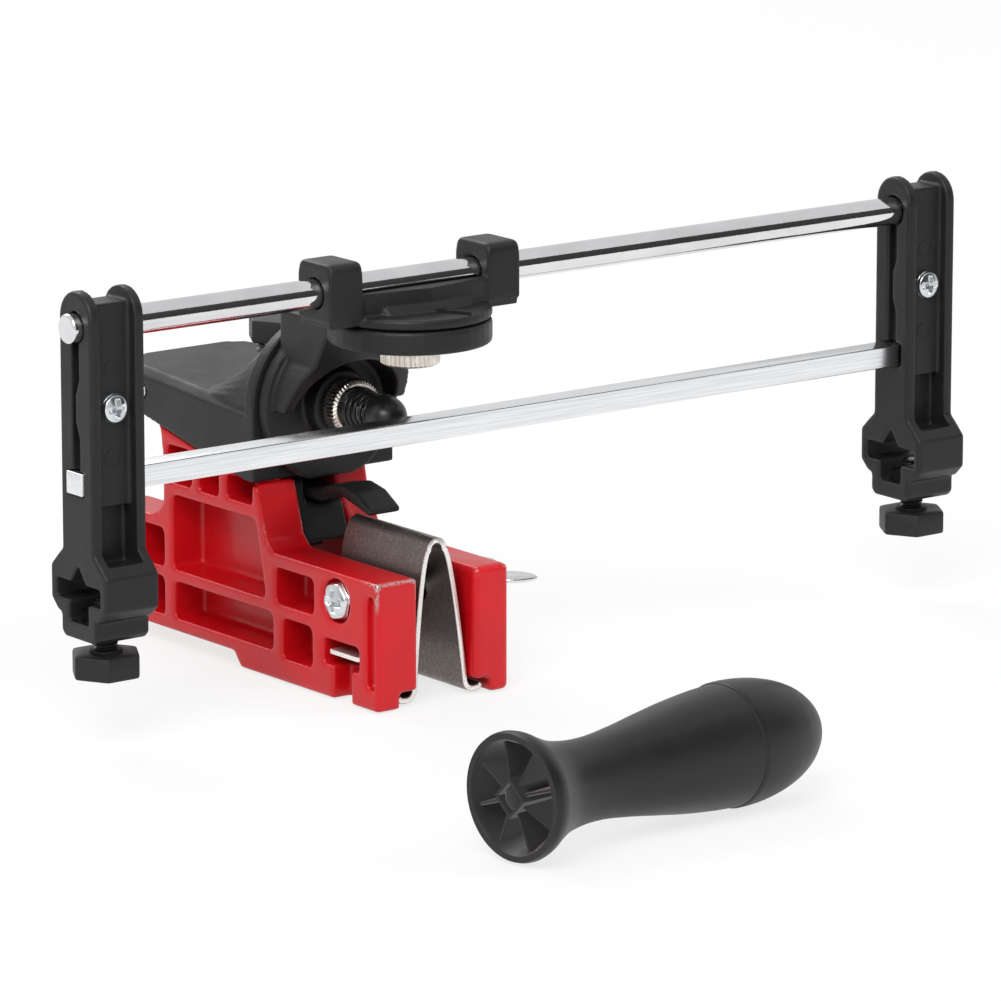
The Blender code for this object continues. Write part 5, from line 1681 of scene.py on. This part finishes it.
@dataclass
class Studio:
    """Pale floor, soft lamps and the camera at the photograph's angle."""

    floor_size: float = 8.0
    floor_z: float = -0.0233
    floor_glow: float = 0.76
    mirrored_glow: float = 0.6
    eye: Triple = (-0.8112, -1.1460, 0.3260)
    right: Triple = (0.795, -0.606, 0.0)
    up: Triple = (0.1342, 0.1761, 0.9751)
    lens: float = 246.35
    card_x: Pair = (-0.06, 0.62)
    card_y: float = -0.29
    card_z: Pair = (0.035, 0.27)
    lamp_rows: tuple[tuple[str, Triple, float, float], ...] = (
        ("key", (-0.9, -0.8, 1.1), 0.9, 17.0),
        ("fill", (1.1, -0.9, 0.8), 0.9, 9.0),
        ("back", (0.1, 1.2, 1.2), 1.1, 14.0))

    def build(self) -> None:
        """Set up the floor, lamps, world and camera."""
        self.floor()
        self.lamps()
        self.card()
        self.world()
        self.camera()
        bpy.context.scene.view_settings.view_transform = "Standard"

    @staticmethod
    def flat(name: str, corners: list[Triple], finish: bpy.types.Material) -> Object:
        """A flat face that isn't part of the object.

        Args:
            name: Its name.
            corners: Its four corners in order.
            finish: Its material.

        Returns:
            The new object.
        """
        mesh = bpy.data.meshes.new(name)
        mesh.from_pydata(corners, [], [(0, 1, 2, 3)])
        mesh.materials.append(finish)
        made = new_object(name, mesh)
        return made

    def floor(self) -> None:
        """A wide flat floor, shown pale to the camera and in reflections, that keeps the shadow."""
        finish, tree, shader = new_material("pale floor")
        tree.feed(shader.inputs["Base Color"], (0.86, 0.86, 0.86))
        shader.inputs["Roughness"].default_value = 0.9
        shader.inputs["Specular IOR Level"].default_value = 0.1
        glow = tree.node("ShaderNodeEmission", Color=(1.0, 1.0, 1.0), Strength=1.0)
        rays = tree.node("ShaderNodeLightPath").outputs
        seen = tree.math("MAXIMUM", rays["Is Camera Ray"], rays["Is Glossy Ray"])
        seen = tree.math("MAXIMUM", seen, rays["Is Transmission Ray"])
        tree.shader_mix(tree.math("MULTIPLY", seen, self.floor_glow), shader, glow, "Material Output")
        half, z = self.floor_size / 2, self.floor_z
        self.flat("floor", [(-half, -half, z), (half, -half, z), (half, half, z), (-half, half, z)], finish)

    def lamps(self) -> None:
        """Three soft boxes, turned to the object, of which the fill isn't mirrored."""
        for name, place, size, power in self.lamp_rows:
            light = bpy.data.lights.new(name, "AREA")
            light.shape = "SQUARE"
            light.size = size
            light.energy = power
            made = new_object(name, light)
            made.location = place
            made.rotation_euler = (-Vector(place)).to_track_quat("-Z", "Y").to_euler()
            made.visible_glossy = name != "fill"

    def card(self) -> None:
        """Upright dark card in front of the rod, which bright metal mirrors as its dark band."""
        finish, tree, shader = new_material("dark card")
        tree.feed(shader.inputs["Base Color"], (0.01, 0.01, 0.01))
        (left, right), y, (low, high) = self.card_x, self.card_y, self.card_z
        corners = [(left, y, low), (left, y, high), (right, y, high), (right, y, low)]
        made = self.flat("dark_card", corners, finish)
        made.visible_camera = False
        made.visible_diffuse = False
        made.visible_shadow = False

    def world(self) -> None:
        """A plain pale surround, white to the camera and in reflections."""
        world = bpy.data.worlds.new("studio")
        world.use_nodes = True
        tree = Tree(world.node_tree)
        plain = world.node_tree.nodes["Background"]
        tree.feed(plain.inputs["Color"], (0.95, 0.97, 1.0))
        plain.inputs["Strength"].default_value = 0.45
        white = tree.node("ShaderNodeBackground", Color=(1.0, 1.0, 1.0), Strength=1.0)
        rays = tree.node("ShaderNodeLightPath").outputs
        seen = tree.math("MAXIMUM", rays["Is Camera Ray"], rays["Is Transmission Ray"])
        mirrored = tree.math("MULTIPLY", rays["Is Glossy Ray"], self.mirrored_glow)
        tree.shader_mix(tree.math("MAXIMUM", seen, mirrored), plain, white, "World Output")
        bpy.context.scene.world = world

    def camera(self) -> None:
        """A long lens at the photograph's place and angle."""
        lens = bpy.data.cameras.new("camera")
        lens.lens = self.lens
        lens.sensor_width = 36.0
        lens.clip_start, lens.clip_end = 0.05, 30.0
        made = new_object("camera", lens)
        right = Vector(self.right).normalized()
        back = right.cross(Vector(self.up)).normalized()
        turn = Matrix((right, back.cross(right), back)).transposed().to_4x4()
        made.matrix_world = Matrix.Translation(self.eye) @ turn
        bpy.context.scene.camera = made


def main() -> None:
    """Build every sub-assembly in order, then the studio round them."""
    logging.basicConfig(level=logging.INFO, format="%(name)s: %(message)s")
    for part in (Clamp(), BarStop(), SwingArm(), TiltHead(), GuideCarriage(), FileFrame(), FileHandle()):
        log.info("building %s", type(part).__name__)
        part.build()
    Studio().build()


if __name__ == "__main__":
    main()
